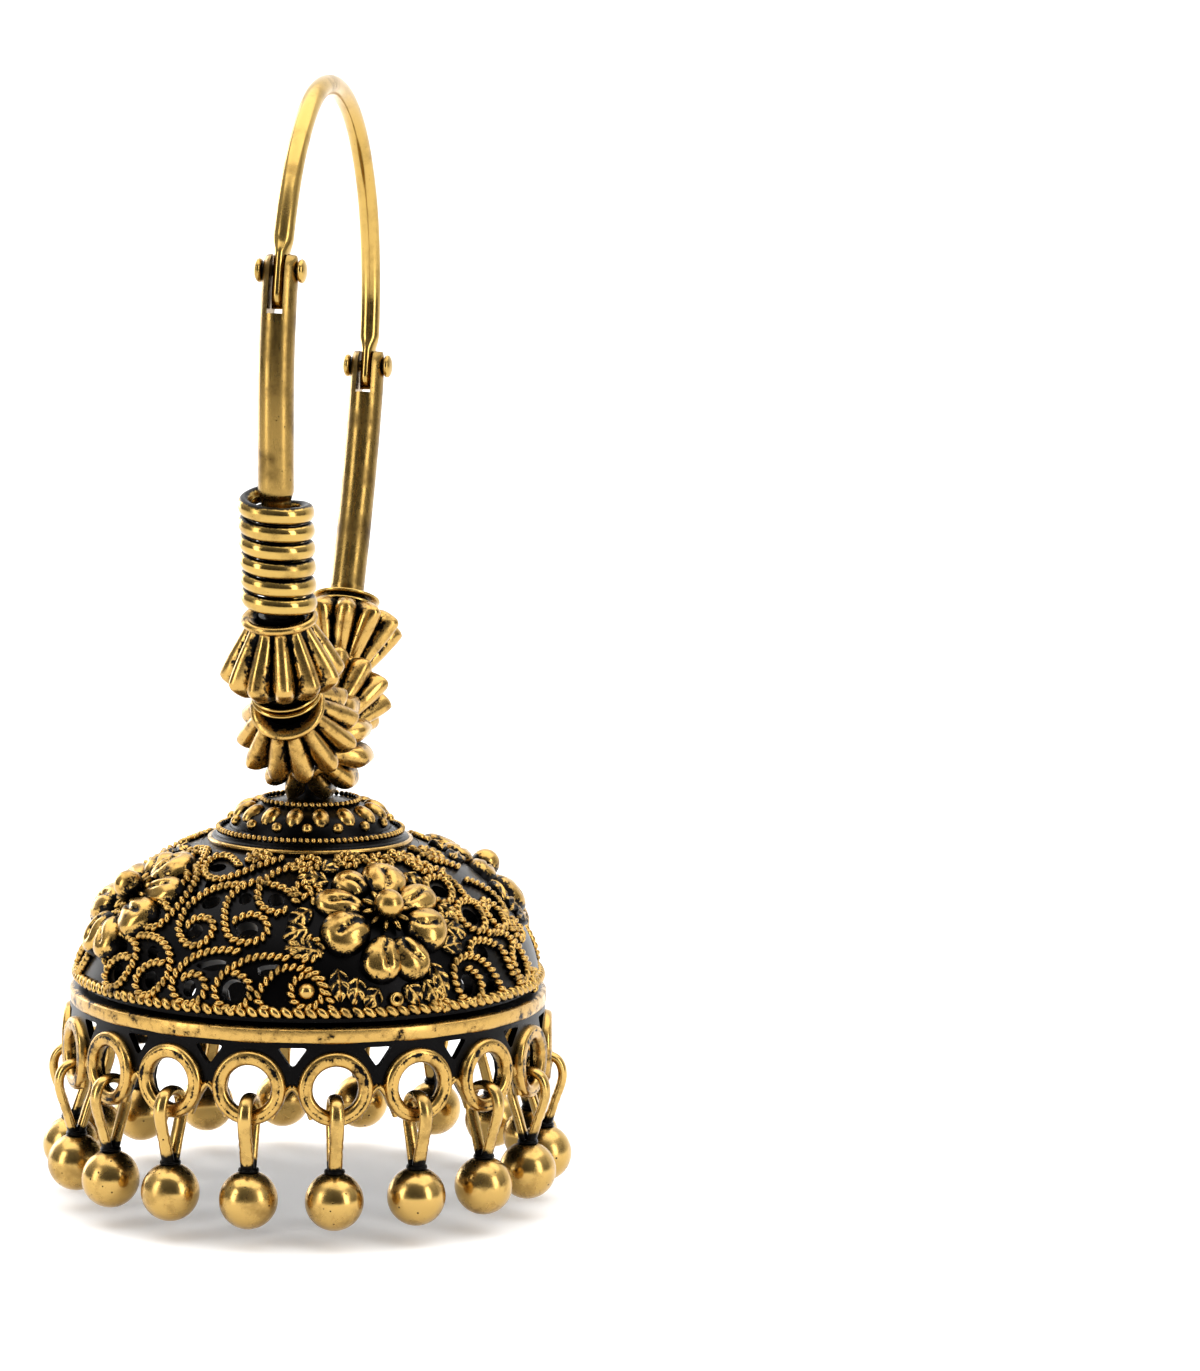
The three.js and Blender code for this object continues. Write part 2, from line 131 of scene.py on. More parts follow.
def giltMaterial(name, look):
    material = bpy.data.materials.new(name)
    material.use_nodes = True
    tree = material.node_tree
    shader = tree.nodes["Principled BSDF"]
    where = addNode(tree, "ShaderNodeTexCoord").outputs["Object"]
    perMillimetre = 1 / millimetre

    stain = addNode(tree, "ShaderNodeTexNoise", {
        "Scale": perMillimetre / look["stainSize"], "Detail": 6, "Roughness": 0.62}, {"Vector": where})
    grain = addNode(tree, "ShaderNodeTexNoise", {
        "Scale": perMillimetre / look["grainSize"], "Detail": 3, "Roughness": 0.6}, {"Vector": where})
    pits = addNode(tree, "ShaderNodeTexVoronoi", {
        "Scale": perMillimetre / look["pitSize"], "Randomness": 1}, {"Vector": where})
    pitHere = addNode(tree, "ShaderNodeTexNoise", {
        "Scale": perMillimetre / (look["pitSize"] * 3), "Detail": 2}, {"Vector": where})
    wear = addNode(tree, "ShaderNodeAttribute", {"attribute_name": "wear"}).outputs["Fac"]

    # how far the black is rubbed off here, with painted shade from the attribute on some wire pieces: the
    # piece's own relief, roughened by the grain
    rough = stepBetween(tree, grain.outputs["Fac"], 0.3, 0.7, (-0.13, 0.13))
    blotch = stepBetween(tree, stain.outputs["Fac"], 0.42, 0.78, (0, -look["blotch"]))
    patchy = addNode(tree, "ShaderNodeMath", {"operation": "ADD"}, {0: rough, 1: blotch}).outputs[0]
    reliefAndShade = addNode(tree, "ShaderNodeMath", {"operation": "ADD"}, {0: wear, 1: patchy}).outputs[0]
    rubbedAndUnshaded = stepBetween(tree, reliefAndShade, *look["rubbedAndUnshaded"])

    # a pit is a small dark hole, only where the slower noise allows one
    pitEdge = stepBetween(tree, pits.outputs["Distance"], look["pits"] * 0.6, look["pits"])
    pitAllowed = stepBetween(tree, pitHere.outputs["Fac"], 0.5, 0.56, (1, 0))
    pitFree = addNode(tree, "ShaderNodeMath", {"operation": "MAXIMUM"}, {
        0: pitEdge, 1: pitAllowed}).outputs[0]
    goldShowing = addNode(tree, "ShaderNodeMath", {"operation": "MULTIPLY"}, {0: rubbedAndUnshaded, 1: pitFree}).outputs[0]

    stained = stepBetween(tree, stain.outputs["Fac"], 0.46, 0.74, (0, look["stain"]))
    gold = addNode(tree, "ShaderNodeMix", {
        "data_type": "RGBA", 6: linear(look["gold"]), 7: linear(look["deep"])}, {0: stained})
    colour = addNode(tree, "ShaderNodeMix", {
        "data_type": "RGBA", 6: linear(look["black"])}, {0: goldShowing, 7: gold.outputs[2]})
    tree.links.new(colour.outputs[2], shader.inputs["Base Color"])
    tree.links.new(stepBetween(tree, goldShowing, 0, 1, (0.92, 1)), shader.inputs["Metallic"])

    low, high = look["roughness"]
    dull = stepBetween(tree, stain.outputs["Fac"], 0.35, 0.75, (low, high))
    if look["brush"]:
        stretched = addNode(tree, "ShaderNodeMapping", {"Scale": (6, 6, 0.35)}, {"Vector": where})
        streaks = addNode(tree, "ShaderNodeTexNoise", {
            "Scale": perMillimetre, "Detail": 2}, {"Vector": stretched.outputs[0]})
        streak = stepBetween(tree, streaks.outputs["Fac"], 0.3, 0.7, (0, 0.14 * look["brush"]))
        dull = addNode(tree, "ShaderNodeMath", {"operation": "ADD"}, {0: dull, 1: streak}).outputs[0]
    blackDull = addNode(tree, "ShaderNodeMix", {"data_type": "FLOAT", 2: 0.36}, {0: goldShowing, 3: dull})
    tree.links.new(blackDull.outputs[0], shader.inputs["Roughness"])

    height = addNode(tree, "ShaderNodeMath", {"operation": "MULTIPLY_ADD", 1: look["grain"]}, {
        0: grain.outputs["Fac"], 2: pitFree}).outputs[0]
    bump = addNode(tree, "ShaderNodeBump", {
        "Strength": 0.35, "Distance": 0.02 * millimetre}, {"Height": height})
    tree.links.new(bump.outputs[0], shader.inputs["Normal"])
    return material


gilt = {name: giltMaterial(name, look) for name, look in giltLooks.items()}
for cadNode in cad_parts.values():  # every node is replaced below, and still gets a finish
    for slot in cadNode.material_slots:
        slot.material = gilt[castBrass]
print("materials made")


# Meshes: each piece is gathered in a pile and then made
class Pile:
    # vertices, faces, and wear and painted shade of everything that goes into one piece
    def __init__(self):
        self.points, self.faces, self.wear, self.size = [], [], [], 0

    def add(self, points, faces, wear=1.0):
        points = np.asarray(points, float).reshape(-1, 3)
        self.points.append(points)
        self.faces.extend([tuple(int(i) + self.size for i in face) for face in faces])
        self.wear.append(np.broadcast_to(np.asarray(wear, float).reshape(-1), (len(points),)))
        self.size += len(points)


def makePiece(name, pile, material, body, replaced=(), sharp=50):
    points = (np.vstack(pile.points) - [0, 0, seat]) * millimetre
    mesh = bpy.data.meshes.new(name)
    mesh.from_pydata(points.tolist(), [], pile.faces)
    mesh.attributes.new("wear", "FLOAT", "POINT").data.foreach_set("value", np.concatenate(pile.wear))
    work = bmesh.new()
    work.from_mesh(mesh)
    bmesh.ops.recalc_face_normals(work, faces=work.faces)
    work.to_mesh(mesh)
    work.free()
    mesh.shade_smooth()
    mesh.set_sharp_from_angle(angle=math.radians(sharp))
    mesh.materials.append(gilt[material])
    piece = bpy.data.objects.new(name, mesh)
    bpy.context.scene.collection.objects.link(piece)
    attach(piece, body)
    if replaced:
        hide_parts(*replaced)
    return piece


def gridFaces(rows, columns, closed=True):
    faces = []
    for r in range(rows - 1):
        for c in range(columns if closed else columns - 1):
            d = (c + 1) % columns
            faces.append((r * columns + c, r * columns + d, (r + 1) * columns + d, (r + 1) * columns + c))
    return faces


def loft(pile, rings, wear=1.0, loop=False):
    rings = np.asarray(rings, float)
    rows, columns = rings.shape[:2]
    faces = gridFaces(rows, columns)
    if loop:
        last = (rows - 1) * columns
        faces += [(last + c, last + (c + 1) % columns, (c + 1) % columns, c) for c in range(columns)]
    else:
        faces += [tuple(range(columns)), tuple((rows - 1) * columns + c for c in range(columns))]
    pile.add(rings, faces, wear)


def unit(vectors):
    return vectors / np.linalg.norm(vectors, axis=-1, keepdims=True)


def sweep(pile, path, up, wide, high, sides, wear=1.0, loop=False):
    # wide and high are half sizes along the two sides of the path: across it, and along up
    path = np.asarray(path, float)
    if loop:
        along = unit(np.roll(path, -1, 0) - np.roll(path, 1, 0))
    else:
        along = unit(np.gradient(path, axis=0))
    across = unit(np.cross(along, np.broadcast_to(up, path.shape)))
    rise = np.cross(across, along)
    angles = 2 * np.pi * (np.arange(sides) + 0.5) / sides
    wide = np.broadcast_to(wide, len(path))[:, None, None]
    high = np.broadcast_to(high, len(path))[:, None, None]
    rings = (path[:, None] + wide * np.cos(angles)[None, :, None] * across[:, None]
             + high * np.sin(angles)[None, :, None] * rise[:, None])
    if callable(wear):
        wear = np.broadcast_to(wear(angles)[None, :], (len(path), sides))
    loft(pile, rings, wear, loop=loop)


def smoothLine(points, count, closed=False):
    # centripetal Catmull-Rom curve through the points, the form that the hoop's own line has
    points = np.asarray(points, float)
    if closed:
        line = np.vstack([points[-1], points, points[:2]])
    else:
        line = np.vstack([2 * points[0] - points[1], points, 2 * points[-1] - points[-2]])
    out = []
    for i in range(1, len(line) - 2):
        a, b, c, d = line[i - 1:i + 3]
        ab, bc, cd = [max(math.sqrt(np.linalg.norm(q - p)), 1e-6) for p, q in ((a, b), (b, c), (c, d))]
        m = ((b - a) / ab - (c - a) / (ab + bc) + (c - b) / bc) * bc
        n = ((c - b) / bc - (d - b) / (bc + cd) + (d - c) / cd) * bc
        t = np.linspace(0, 1, count, endpoint=False)[:, None]
        out.append(b + m * t + (3 * (c - b) - 2 * m - n) * t ** 2 + (2 * (b - c) + m + n) * t ** 3)
    if not closed:
        out.append(line[-2:-1])
    return np.vstack(out)


def spaced(line, step, closed=False):
    # the same line with its points evenly spaced, step apart
    if closed:
        line = np.vstack([line, line[:1]])
    run = np.r_[0, np.cumsum(np.linalg.norm(np.diff(line, axis=0), axis=1))]
    count = max(2, int(round(run[-1] / step)))
    at = np.linspace(0, run[-1], count + 1)
    if closed:
        at = at[:-1]
    return np.column_stack([np.interp(at, run, line[:, k]) for k in range(line.shape[1])])


def evenAngles(count):
    return np.linspace(0, 2 * np.pi, count, endpoint=False)


def fuller(value, power):
    # a sine or cosine with its shoulders filled out, for a section between round and square
    return math.copysign(abs(value) ** power, value)


def walledFaces(flat, faces, seam):
    # a flat plate's faces, the same again for its other side, and walls round its edges, with none
    # past the seam where the next plate joins
    count = len(flat)
    edges = dict.fromkeys((a, b) for f in faces for a, b in zip(f, f[1:] + f[:1]))
    borders = [(a, b) for a, b in edges if (b, a) not in edges]
    solid = faces + [tuple(i + count for i in f[::-1]) for f in faces]
    solid += [(b, a, a + count, b + count) for a, b in borders
              if not (abs(flat[a][0]) > seam and abs(flat[b][0]) > seam)]
    return solid, borders


def turnedRings(profile, sides):
    # rings of a turned solid, from radius and height
    angles = 2 * np.pi * np.arange(sides) / sides
    radius = np.array([p[0] for p in profile])[:, None] * np.ones(sides)
    height = np.array([p[1] for p in profile])[:, None] * np.ones(sides)
    return np.stack([radius * np.sin(angles), -radius * np.cos(angles), height], -1)


def ballTemplate(sides=8, rings=5):
    points = [(0, 0, 1)]
    for r in range(1, rings + 1):
        fall = math.pi * r / (rings + 1)
        for s in range(sides):
            turn = 2 * math.pi * s / sides
            points.append((math.sin(fall) * math.cos(turn), math.sin(fall) * math.sin(turn), math.cos(fall)))
    points.append((0, 0, -1))
    faces = [(0, 1 + s, 1 + (s + 1) % sides) for s in range(sides)]
    for a, b, c, d in gridFaces(rings, sides):
        faces.append((a + 1, b + 1, c + 1, d + 1))
    last, base = len(points) - 1, 1 + (rings - 1) * sides
    faces += [(last, base + (s + 1) % sides, base + s) for s in range(sides)]
    return np.array(points), faces


grainTemplate = ballTemplate()
smoothBall = ballTemplate(20, 11)


def addGrain(pile, centre, axes, template=grainTemplate):
    # a ball stretched along three axes, the third pointing away from the metal behind it
    points, faces = template
    wear = np.clip(0.42 + 0.9 * points[:, 2], 0, 1)
    pile.add(np.asarray(centre) + points @ np.asarray(axes), faces, wear)


def addRope(pile, line, normals, width, pitch, slant=44, closed=False, rise=0.45, lift=0.1):
    # twisted wire, seen as a row of slanted oval beads
    both = spaced(np.hstack([line, normals]), pitch, closed)
    path, up = both[:, :3], unit(both[:, 3:])
    if closed:
        along = unit(np.roll(path, -1, 0) - np.roll(path, 1, 0))
    else:
        along = unit(np.gradient(path, axis=0))
    across = unit(np.cross(up, along))
    lean = math.radians(slant)
    for p, t, b, n in zip(path, along, across, up):
        longer = (b * math.cos(lean) + t * math.sin(lean)) * width / 2
        shorter = (t * math.cos(lean) - b * math.sin(lean)) * pitch * 0.42
        addGrain(pile, p + n * lift, [longer, shorter, n * width * rise])


# The hoop's centre line, as places back and up in its own plane
hoopPlan = {
    "bottomRadius": 8.3,
    "back": [(9.9, 9.4), (12.3, 15), (14.2, 20.9), (15.1, 27), (13.9, 33), (10.2, 37.9)],
    "top": [(5, 40.3), (-0.6, 39.9), (-5.3, 36.5)],
    "front": [(-8.4, 31.4), (-9.8, 25.3), (-9.9, 19), (-9.3, 12.6)],
}
# arc lengths from the hoop's lowest point; towards the front they are negative
place = {
    "frontPin": -34.3, "frontSlot": -31.6, "coilTop": -20.9, "coilBottom": -13.3, "bead1": -10.7,
    "bead2": -4.85, "bailBead": 0, "bead4": 4.8, "bead5": 9.6, "backTube": 13.3, "rearSlot": 26.4,
    "rearPin": 28.3,
}


def hoopTable(plan):
    turns = [math.radians(t) for t in (-60, -30, 0, 30, 60)]
    r = plan["bottomRadius"]
    bottom = [(r * math.sin(t), r * (1 - math.cos(t))) for t in turns]
    line = smoothLine(bottom + plan["back"] + plan["top"] + plan["front"], 100, closed=True)
    line = np.vstack([line, line[:1]])
    run = np.r_[0, np.cumsum(np.linalg.norm(np.diff(line, axis=0), axis=1))]
    return line, run - run[200], run[-1]  # the third control point is the lowest


hoopLine, hoopRun, hoopLength = hoopTable(hoopPlan)


def hoopPoints(arcs):
    arcs = np.asarray(arcs, float)
    wrapped = (arcs - hoopRun[0]) % hoopLength + hoopRun[0]
    y, h = [np.interp(wrapped, hoopRun, hoopLine[:, k]) for k in (0, 1)]
    return np.stack([np.zeros_like(y), y, h], -1)


def hoopFrame(arc):
    # point and axes of a piece on the hoop: outwards from it in its plane, along it, across it
    ends = hoopPoints([arc - 0.05, arc + 0.05])
    along = unit(ends[1] - ends[0])
    side = np.array([1.0, 0, 0])
    return hoopPoints([arc])[0], np.array([np.cross(along, side), along, side])


def onHoop(points, arc):
    origin, axes = hoopFrame(arc)
    return origin + np.asarray(points, float) @ axes


def addTurnedOnHoop(pile, profile, arc, sides, wear, loop=False, across=False):
    # turned piece round the hoop's line, or round a pin across it
    rings = turnedRings(profile, sides)
    order = (0, 1, 2) if across else (0, 2, 1)
    loft(pile, onHoop(rings[..., list(order)], arc), wear, loop=loop)


# Ear wire, hoop tube and rivets
wireLook = {
    "radius": 0.64, "bladeHalfThickness": 0.43, "bladeHalfWidth": 0.86, "hingeTip": 1.55, "catchTip": 2.35,
    "flatFrom": 0.8, "flatTo": 2.0}
tubeLook = {"radius": 1.1, "seatRadius": 0.92, "coreRadius": 0.95, "sleeveRadius": 1.3, "shoulder": 0.5}
forkLook = {"halfSlot": 0.48, "tip": 1.05, "root": 0.4}
rivetLook = {"radius": 0.35, "headRadius": 0.74, "headHeight": 0.4, "reach": 1.22}


def earWire(look):
    start, end = place["rearPin"] - look["hingeTip"], hoopLength + place["frontPin"] + look["catchTip"]
    near = np.linspace(0, 4, 40)
    arcs = np.concatenate([start + near, np.linspace(start + 4, end - 4, 150)[1:-1], end - near[::-1]])
    fromPin = np.minimum(arcs - place["rearPin"], hoopLength + place["frontPin"] - arcs)
    blend = np.clip((fromPin - look["flatFrom"]) / (look["flatTo"] - look["flatFrom"]), 0, 1)
    blend = blend * blend * (3 - 2 * blend)
    thick = look["bladeHalfThickness"] + (look["radius"] - look["bladeHalfThickness"]) * blend
    wide = look["bladeHalfWidth"] + (look["radius"] - look["bladeHalfWidth"]) * blend
    tip = np.clip(np.minimum(arcs - start, end - arcs), 0.02, 1)
    wide = wide * np.sqrt(1 - (1 - tip) ** 2)
    pile = Pile()
    sweep(pile, hoopPoints(arcs), (1, 0, 0), wide, thick, 24)
    return makePiece("ear_wire_drawn", pile, drawnWire, "clasp_wire", ["ear_wire"])


def tubeRadii(arcs, look):
    # full tube at the two ends, a neck inside the coil and a thin core inside the beads
    radius = np.full(len(arcs), look["radius"])
    for start, end, size in ((place["coilTop"], place["coilBottom"] + 0.5, look["seatRadius"]),
                             (place["coilBottom"], place["backTube"], look["coreRadius"])):
        into = (np.clip((arcs - start) / look["shoulder"], 0, 1)
                * np.clip((end - arcs) / look["shoulder"], 0, 1))
        radius = radius + (size - radius) * into
    return radius


def forkFinger(pile, slotArc, pinArc, side, look):
    # half-round finger: the tube's own round outside, and a flat inside on the slot
    facing = math.copysign(1, pinArc - slotArc)
    length = abs(pinArc - slotArc) + look["tip"]
    halfTurn = math.acos(look["halfSlot"] / tubeLook["radius"])
    turns = np.linspace(-halfTurn, halfTurn, 15)
    section = [(tubeLook["radius"] * math.cos(t), tubeLook["radius"] * math.sin(t)) for t in turns]
    section += [(look["halfSlot"], y) for y in np.linspace(section[-1][1], section[0][1], 8)[1:-1]]
    straight = np.linspace(-look["root"], length - look["tip"], 9)
    rounding = length - look["tip"] * np.cos(np.linspace(0.2, 1.45, 9))
    rings = []
    for run in np.r_[straight, rounding]:
        left = np.clip((length - run) / look["tip"], 0, 1)
        close = math.sqrt(max(1 - (1 - left) ** 2, 0.001))
        origin, axes = hoopFrame(slotArc + facing * run)
        rings.append([origin + side * x * (0.75 + 0.25 * close if x > look["halfSlot"] + 0.2 else 1) * axes[2]
                      + y * close * axes[0] for x, y in section])
    loft(pile, rings)


def hoopTube(look):
    pile = Pile()
    arcs = np.unique(np.concatenate([
        np.arange(place["frontSlot"], place["rearSlot"], 0.45), [place["rearSlot"]],
        place["coilTop"] + np.linspace(0, look["shoulder"], 6), place["backTube"] - np.linspace(0, 0.5, 6)]))
    hidden = (arcs > place["coilTop"] + 1.6) & (arcs < place["backTube"] - 0.4)
    radii, sides = tubeRadii(arcs, look), 28
    # painted shade: the tube is black where it runs hidden inside the coil and the beads
    wear = np.repeat(np.where(hidden, 0.15, 1.0), sides)
    sweep(pile, hoopPoints(arcs), (1, 0, 0), radii, radii, sides, wear)
    # painted shade: black sleeves inside the beads on either side of the bell, where only shade falls
    for start, end in ((place["coilBottom"] + 0.1, place["bead2"] + 1.7),
                       (place["bead4"] - 1.6, place["bead5"] + 3)):
        sleeve = hoopPoints(np.linspace(start, end, 16))
        sweep(pile, sleeve, (1, 0, 0), look["sleeveRadius"], look["sleeveRadius"], 20, wear=0.05)
    for slotArc, pinArc in ((place["frontSlot"], place["frontPin"]), (place["rearSlot"], place["rearPin"])):
        for side in (1, -1):
            forkFinger(pile, slotArc, pinArc, side, forkLook)
    return makePiece("hoop_tube_brushed", pile, brushedTube, "hoop", ["hoop_tube"])


def rivetPiece(name, arc, look, node):
    r, head, reach, tall = look["radius"], look["headRadius"], look["reach"], look["headHeight"]
    half = [(r, 0.01), (r, reach - 0.12), (head * 0.75, reach - 0.1), (head * 0.95, reach - 0.02),
            (head, reach + 0.1)]
    half += [(head * math.cos(t), reach + 0.1 + (tall - 0.1) * math.sin(t))
             for t in np.linspace(0.3, 1.45, 6)]
    profile = [(x, -y) for x, y in half[::-1]] + half
    # painted shade: the shank is darker where it sits in the hinge's slot
    wear = np.array([0.35 if x < head * 0.9 and abs(y) < reach else 1 for x, y in profile])
    pile = Pile()
    addTurnedOnHoop(pile, profile, arc, 24, np.repeat(wear, 24), across=True)
    return makePiece(name, pile, drawnWire, "hoop", [node])


earWire(wireLook)
hoopTube(tubeLook)
rivetPiece("front_catch_rivet_domed", place["frontPin"], rivetLook, "front_catch_rivet")
rivetPiece("rear_hinge_rivet_domed", place["rearPin"], rivetLook, "rear_hinge_rivet")
print("hoop made")

# Coil, washers and fluted beads
coilLook = {
    "outerRadius": 2.34, "wireRadius": 0.38, "halfTall": 0.53, "turns": 6, "stepsPerTurn": 36, "start": 172,
    "endRadius": 0.26, "endTaper": 0.09}
washerLook = {"outerRadius": 2.2, "innerRadius": 1.35, "thickness": 0.28}
washersOn = {"front": ("bead2", [-2.85, -3.25]), "back": ("bead5", [2.42, 2.95])}
beadLook = {
    "petals": 12, "stepsPerPetal": 10, "bore": 1.4, "dish": 1.45,
    # ridge radius, valley radius, place along the bead from the narrow end, width of the ridge
    "sections": [
        (1.95, 1.95, -2.32, 1), (2.22, 2.22, -2.26, 1), (2.36, 2.36, -2.1, 1), (2.32, 2.32, -1.92, 1),
        (2.1, 1.95, -1.78, 0.75), (2.15, 1.82, -1.68, 0.84), (2.45, 1.95, -1.25, 0.92),
        (2.85, 2.12, -0.7, 0.98), (3.24, 2.3, -0.15, 1.03), (3.6, 2.45, 0.4, 1.06), (3.86, 2.55, 0.85, 1.06),
        (3.92, 2.55, 1.05, 1.04), (3.82, 2.5, 1.28, 1.02), (3.5, 2.42, 1.58, 0.98), (3.12, 2.34, 1.86, 0.92),
        (2.7, 2.2, 1.98, 0.8)],
    "bead1Stretch": 1.12, "neckEnd": -2.2,
}


def wireCoil(look):
    steps = look["turns"] * look["stepsPerTurn"]
    t = np.linspace(0, 1, steps + 1)
    radius = look["outerRadius"] - look["wireRadius"]
    span = place["coilBottom"] - place["coilTop"] - 2 * look["wireRadius"]
    turn = 2 * np.pi * look["turns"] * t + math.radians(look["start"])
    path = np.stack([radius * np.cos(turn), (t - 0.5) * span, radius * np.sin(turn)], -1)
    inward = np.stack([-np.cos(turn), 0 * turn, -np.sin(turn)], -1)
    size = np.minimum(
        look["wireRadius"], look["endRadius"] + np.minimum(t, 1 - t) * steps * look["endTaper"])
    pile = Pile()
    middle = (place["coilTop"] + place["coilBottom"]) / 2
    _, axes = hoopFrame(middle)
    # painted shade: black where a turn lies against the next one and darker on the inner side; gold outside
    sweep(pile, onHoop(path, middle), inward @ axes, size * look["halfTall"] / look["wireRadius"], size, 16,
          wear=lambda a: np.clip(0.95 - 1.5 * np.abs(np.cos(a)) ** 6 - 0.35 * np.clip(np.sin(a), 0, 1), 0, 1))
    return makePiece("wire_coil_wound", pile, drawnWire, "hoop", ["wire_coil"])


def washerPiece(name, beadName, along, look, node):
    middle = (look["outerRadius"] + look["innerRadius"]) / 2
    halfWide = (look["outerRadius"] - look["innerRadius"]) / 2
    halfThick = look["thickness"] / 2
    profile = [(middle + halfWide * fuller(math.cos(t), 0.7), halfThick * fuller(math.sin(t), 0.8))
               for t in evenAngles(14)]
    # painted shade: darker towards the hole, where the washer lies against the tube
    wear = np.clip([0.25 + (x - look["innerRadius"]) * 1.1 for x, _ in profile], 0, 1)
    pile = Pile()
    addTurnedOnHoop(pile, profile, place[beadName] + along, 48, np.repeat(wear, 48), loop=True)
    return makePiece(name, pile, drawnWire, "hoop", [node])


def addFlutedBead(pile, arc, look, drop=0.0, stretch=1.0):
    sides = look["petals"] * look["stepsPerPetal"]
    step = np.arange(sides) % look["stepsPerPetal"] / look["stepsPerPetal"] * 2 - 1
    ridge, valley, along, spread = np.array(look["sections"]).T
    along = along * stretch
    crown = np.clip(1 - (np.abs(step)[None, :] / spread[:, None]) ** 2.0, 0, 1) ** 0.6
    crown = crown * (0.93 + 0.07 * (1 - np.abs(step)) ** 2)[None, :]
    radius = valley[:, None] + (ridge - valley)[:, None] * crown
    # faint flats and hammer marks on each petal
    petal = np.arange(sides) // look["stepsPerPetal"]
    uneven = np.array([random.uniform(-0.04, 0.04) for _ in range(look["petals"])])[petal]
    radius = radius * (1 + uneven[None, :] * (ridge - valley)[:, None] * 0.6)
    wear = np.clip(0.05 + 1.1 * crown, 0, 1)
    wear[-1] *= 0.6
    wear[:4] = 0.9  # the plain collar at the narrow end
    bore = look["bore"]
    inner = [(bore + 0.7, look["dish"] + 0.4), (bore, look["dish"]), (bore, look["neckEnd"])]
    angles = 2 * np.pi * np.arange(sides) / sides
    rows = [np.stack([r * np.sin(angles), np.full(sides, y), -r * np.cos(angles)], -1)
            for r, y in list(zip(radius, along)) + [(np.full(sides, r), y) for r, y in inner]]
    wear = np.vstack([wear, np.full((3, sides), 0.12)])
    loft(pile, onHoop(np.array(rows), arc) - [0, 0, drop], wear.reshape(-1), loop=True)


wireCoil(coilLook)
for where, (beadName, places) in washersOn.items():
    for i, along in enumerate(places):
        washerPiece(f"{where}_washer_{i + 1}_rounded", beadName, along, washerLook, f"{where}_washer_{i + 1}")
for number in (1, 2, 4, 5):
    beadPile = Pile()
    addFlutedBead(beadPile, place[f"bead{number}"], beadLook,
                  stretch=beadLook["bead1Stretch"] if number == 1 else 1.0)
    makePiece(f"fluted_bead_{number}_cast", beadPile, castBrass, "hoop",
              [f"fluted_bead_{number}"], sharp=70)
print("coil and beads made")

# The bell's dome: half an ellipsoid, placed on by turn and climb in degrees
domeLook = {
    "radius": 14.6, "rise": 10.2, "centre": -15.9, "wall": 0.8, "bottom": 6, "top": 62,
    "perDegree": (0.21, 0.2), "clearOfHole": 0.12,  # millimetres
}
halves = {"front": 0, "back": 180}  # the turn of each half of the ornament


def onDome(turn, climb, lift=0.0):
    # point and outward normal of the dome, from its turn and climb in degrees
    turn, climb = np.radians(np.asarray(turn, float)), np.radians(np.asarray(climb, float))
    a, b = domeLook["radius"], domeLook["rise"]
    r, z = a * np.cos(climb), b * np.sin(climb)
    nr, nz = np.cos(climb) / a, np.sin(climb) / b
    size = np.hypot(nr, nz)
    nr, nz = nr / size, nz / size
    east = np.stack([np.sin(turn), -np.cos(turn)], -1)
    normal = np.concatenate([east * nr[..., None], nz[..., None]], -1)
    point = np.concatenate([east * r[..., None], (z + domeLook["centre"])[..., None]], -1)
    return point + normal * np.asarray(lift, float)[..., None], normal


def domeAxes(turn, climb):
    point, normal = onDome(turn, climb)
    t = math.radians(turn)
    east = np.array([math.cos(t), math.sin(t), 0])
    return point, np.array([east, np.cross(normal, east), normal])


def toDome(points):
    # turn and climb under any point near the dome
    points = np.asarray(points, float)
    turn = np.degrees(np.arctan2(points[..., 0], -points[..., 1]))
    reach = np.hypot(points[..., 0], points[..., 1]) / domeLook["radius"]
    return turn, np.degrees(np.arctan2((points[..., 2] - domeLook["centre"]) / domeLook["rise"], reach))


def flatOnDome(turn, climb, xy):
    # points drawn flat in millimetres about a place on the dome, as turn and climb
    origin, axes = domeAxes(turn, climb)
    xy = np.asarray(xy, float)
    t, c = toDome(origin + xy @ axes[:2])
    return turn + (t - turn + 180) % 360 - 180, c


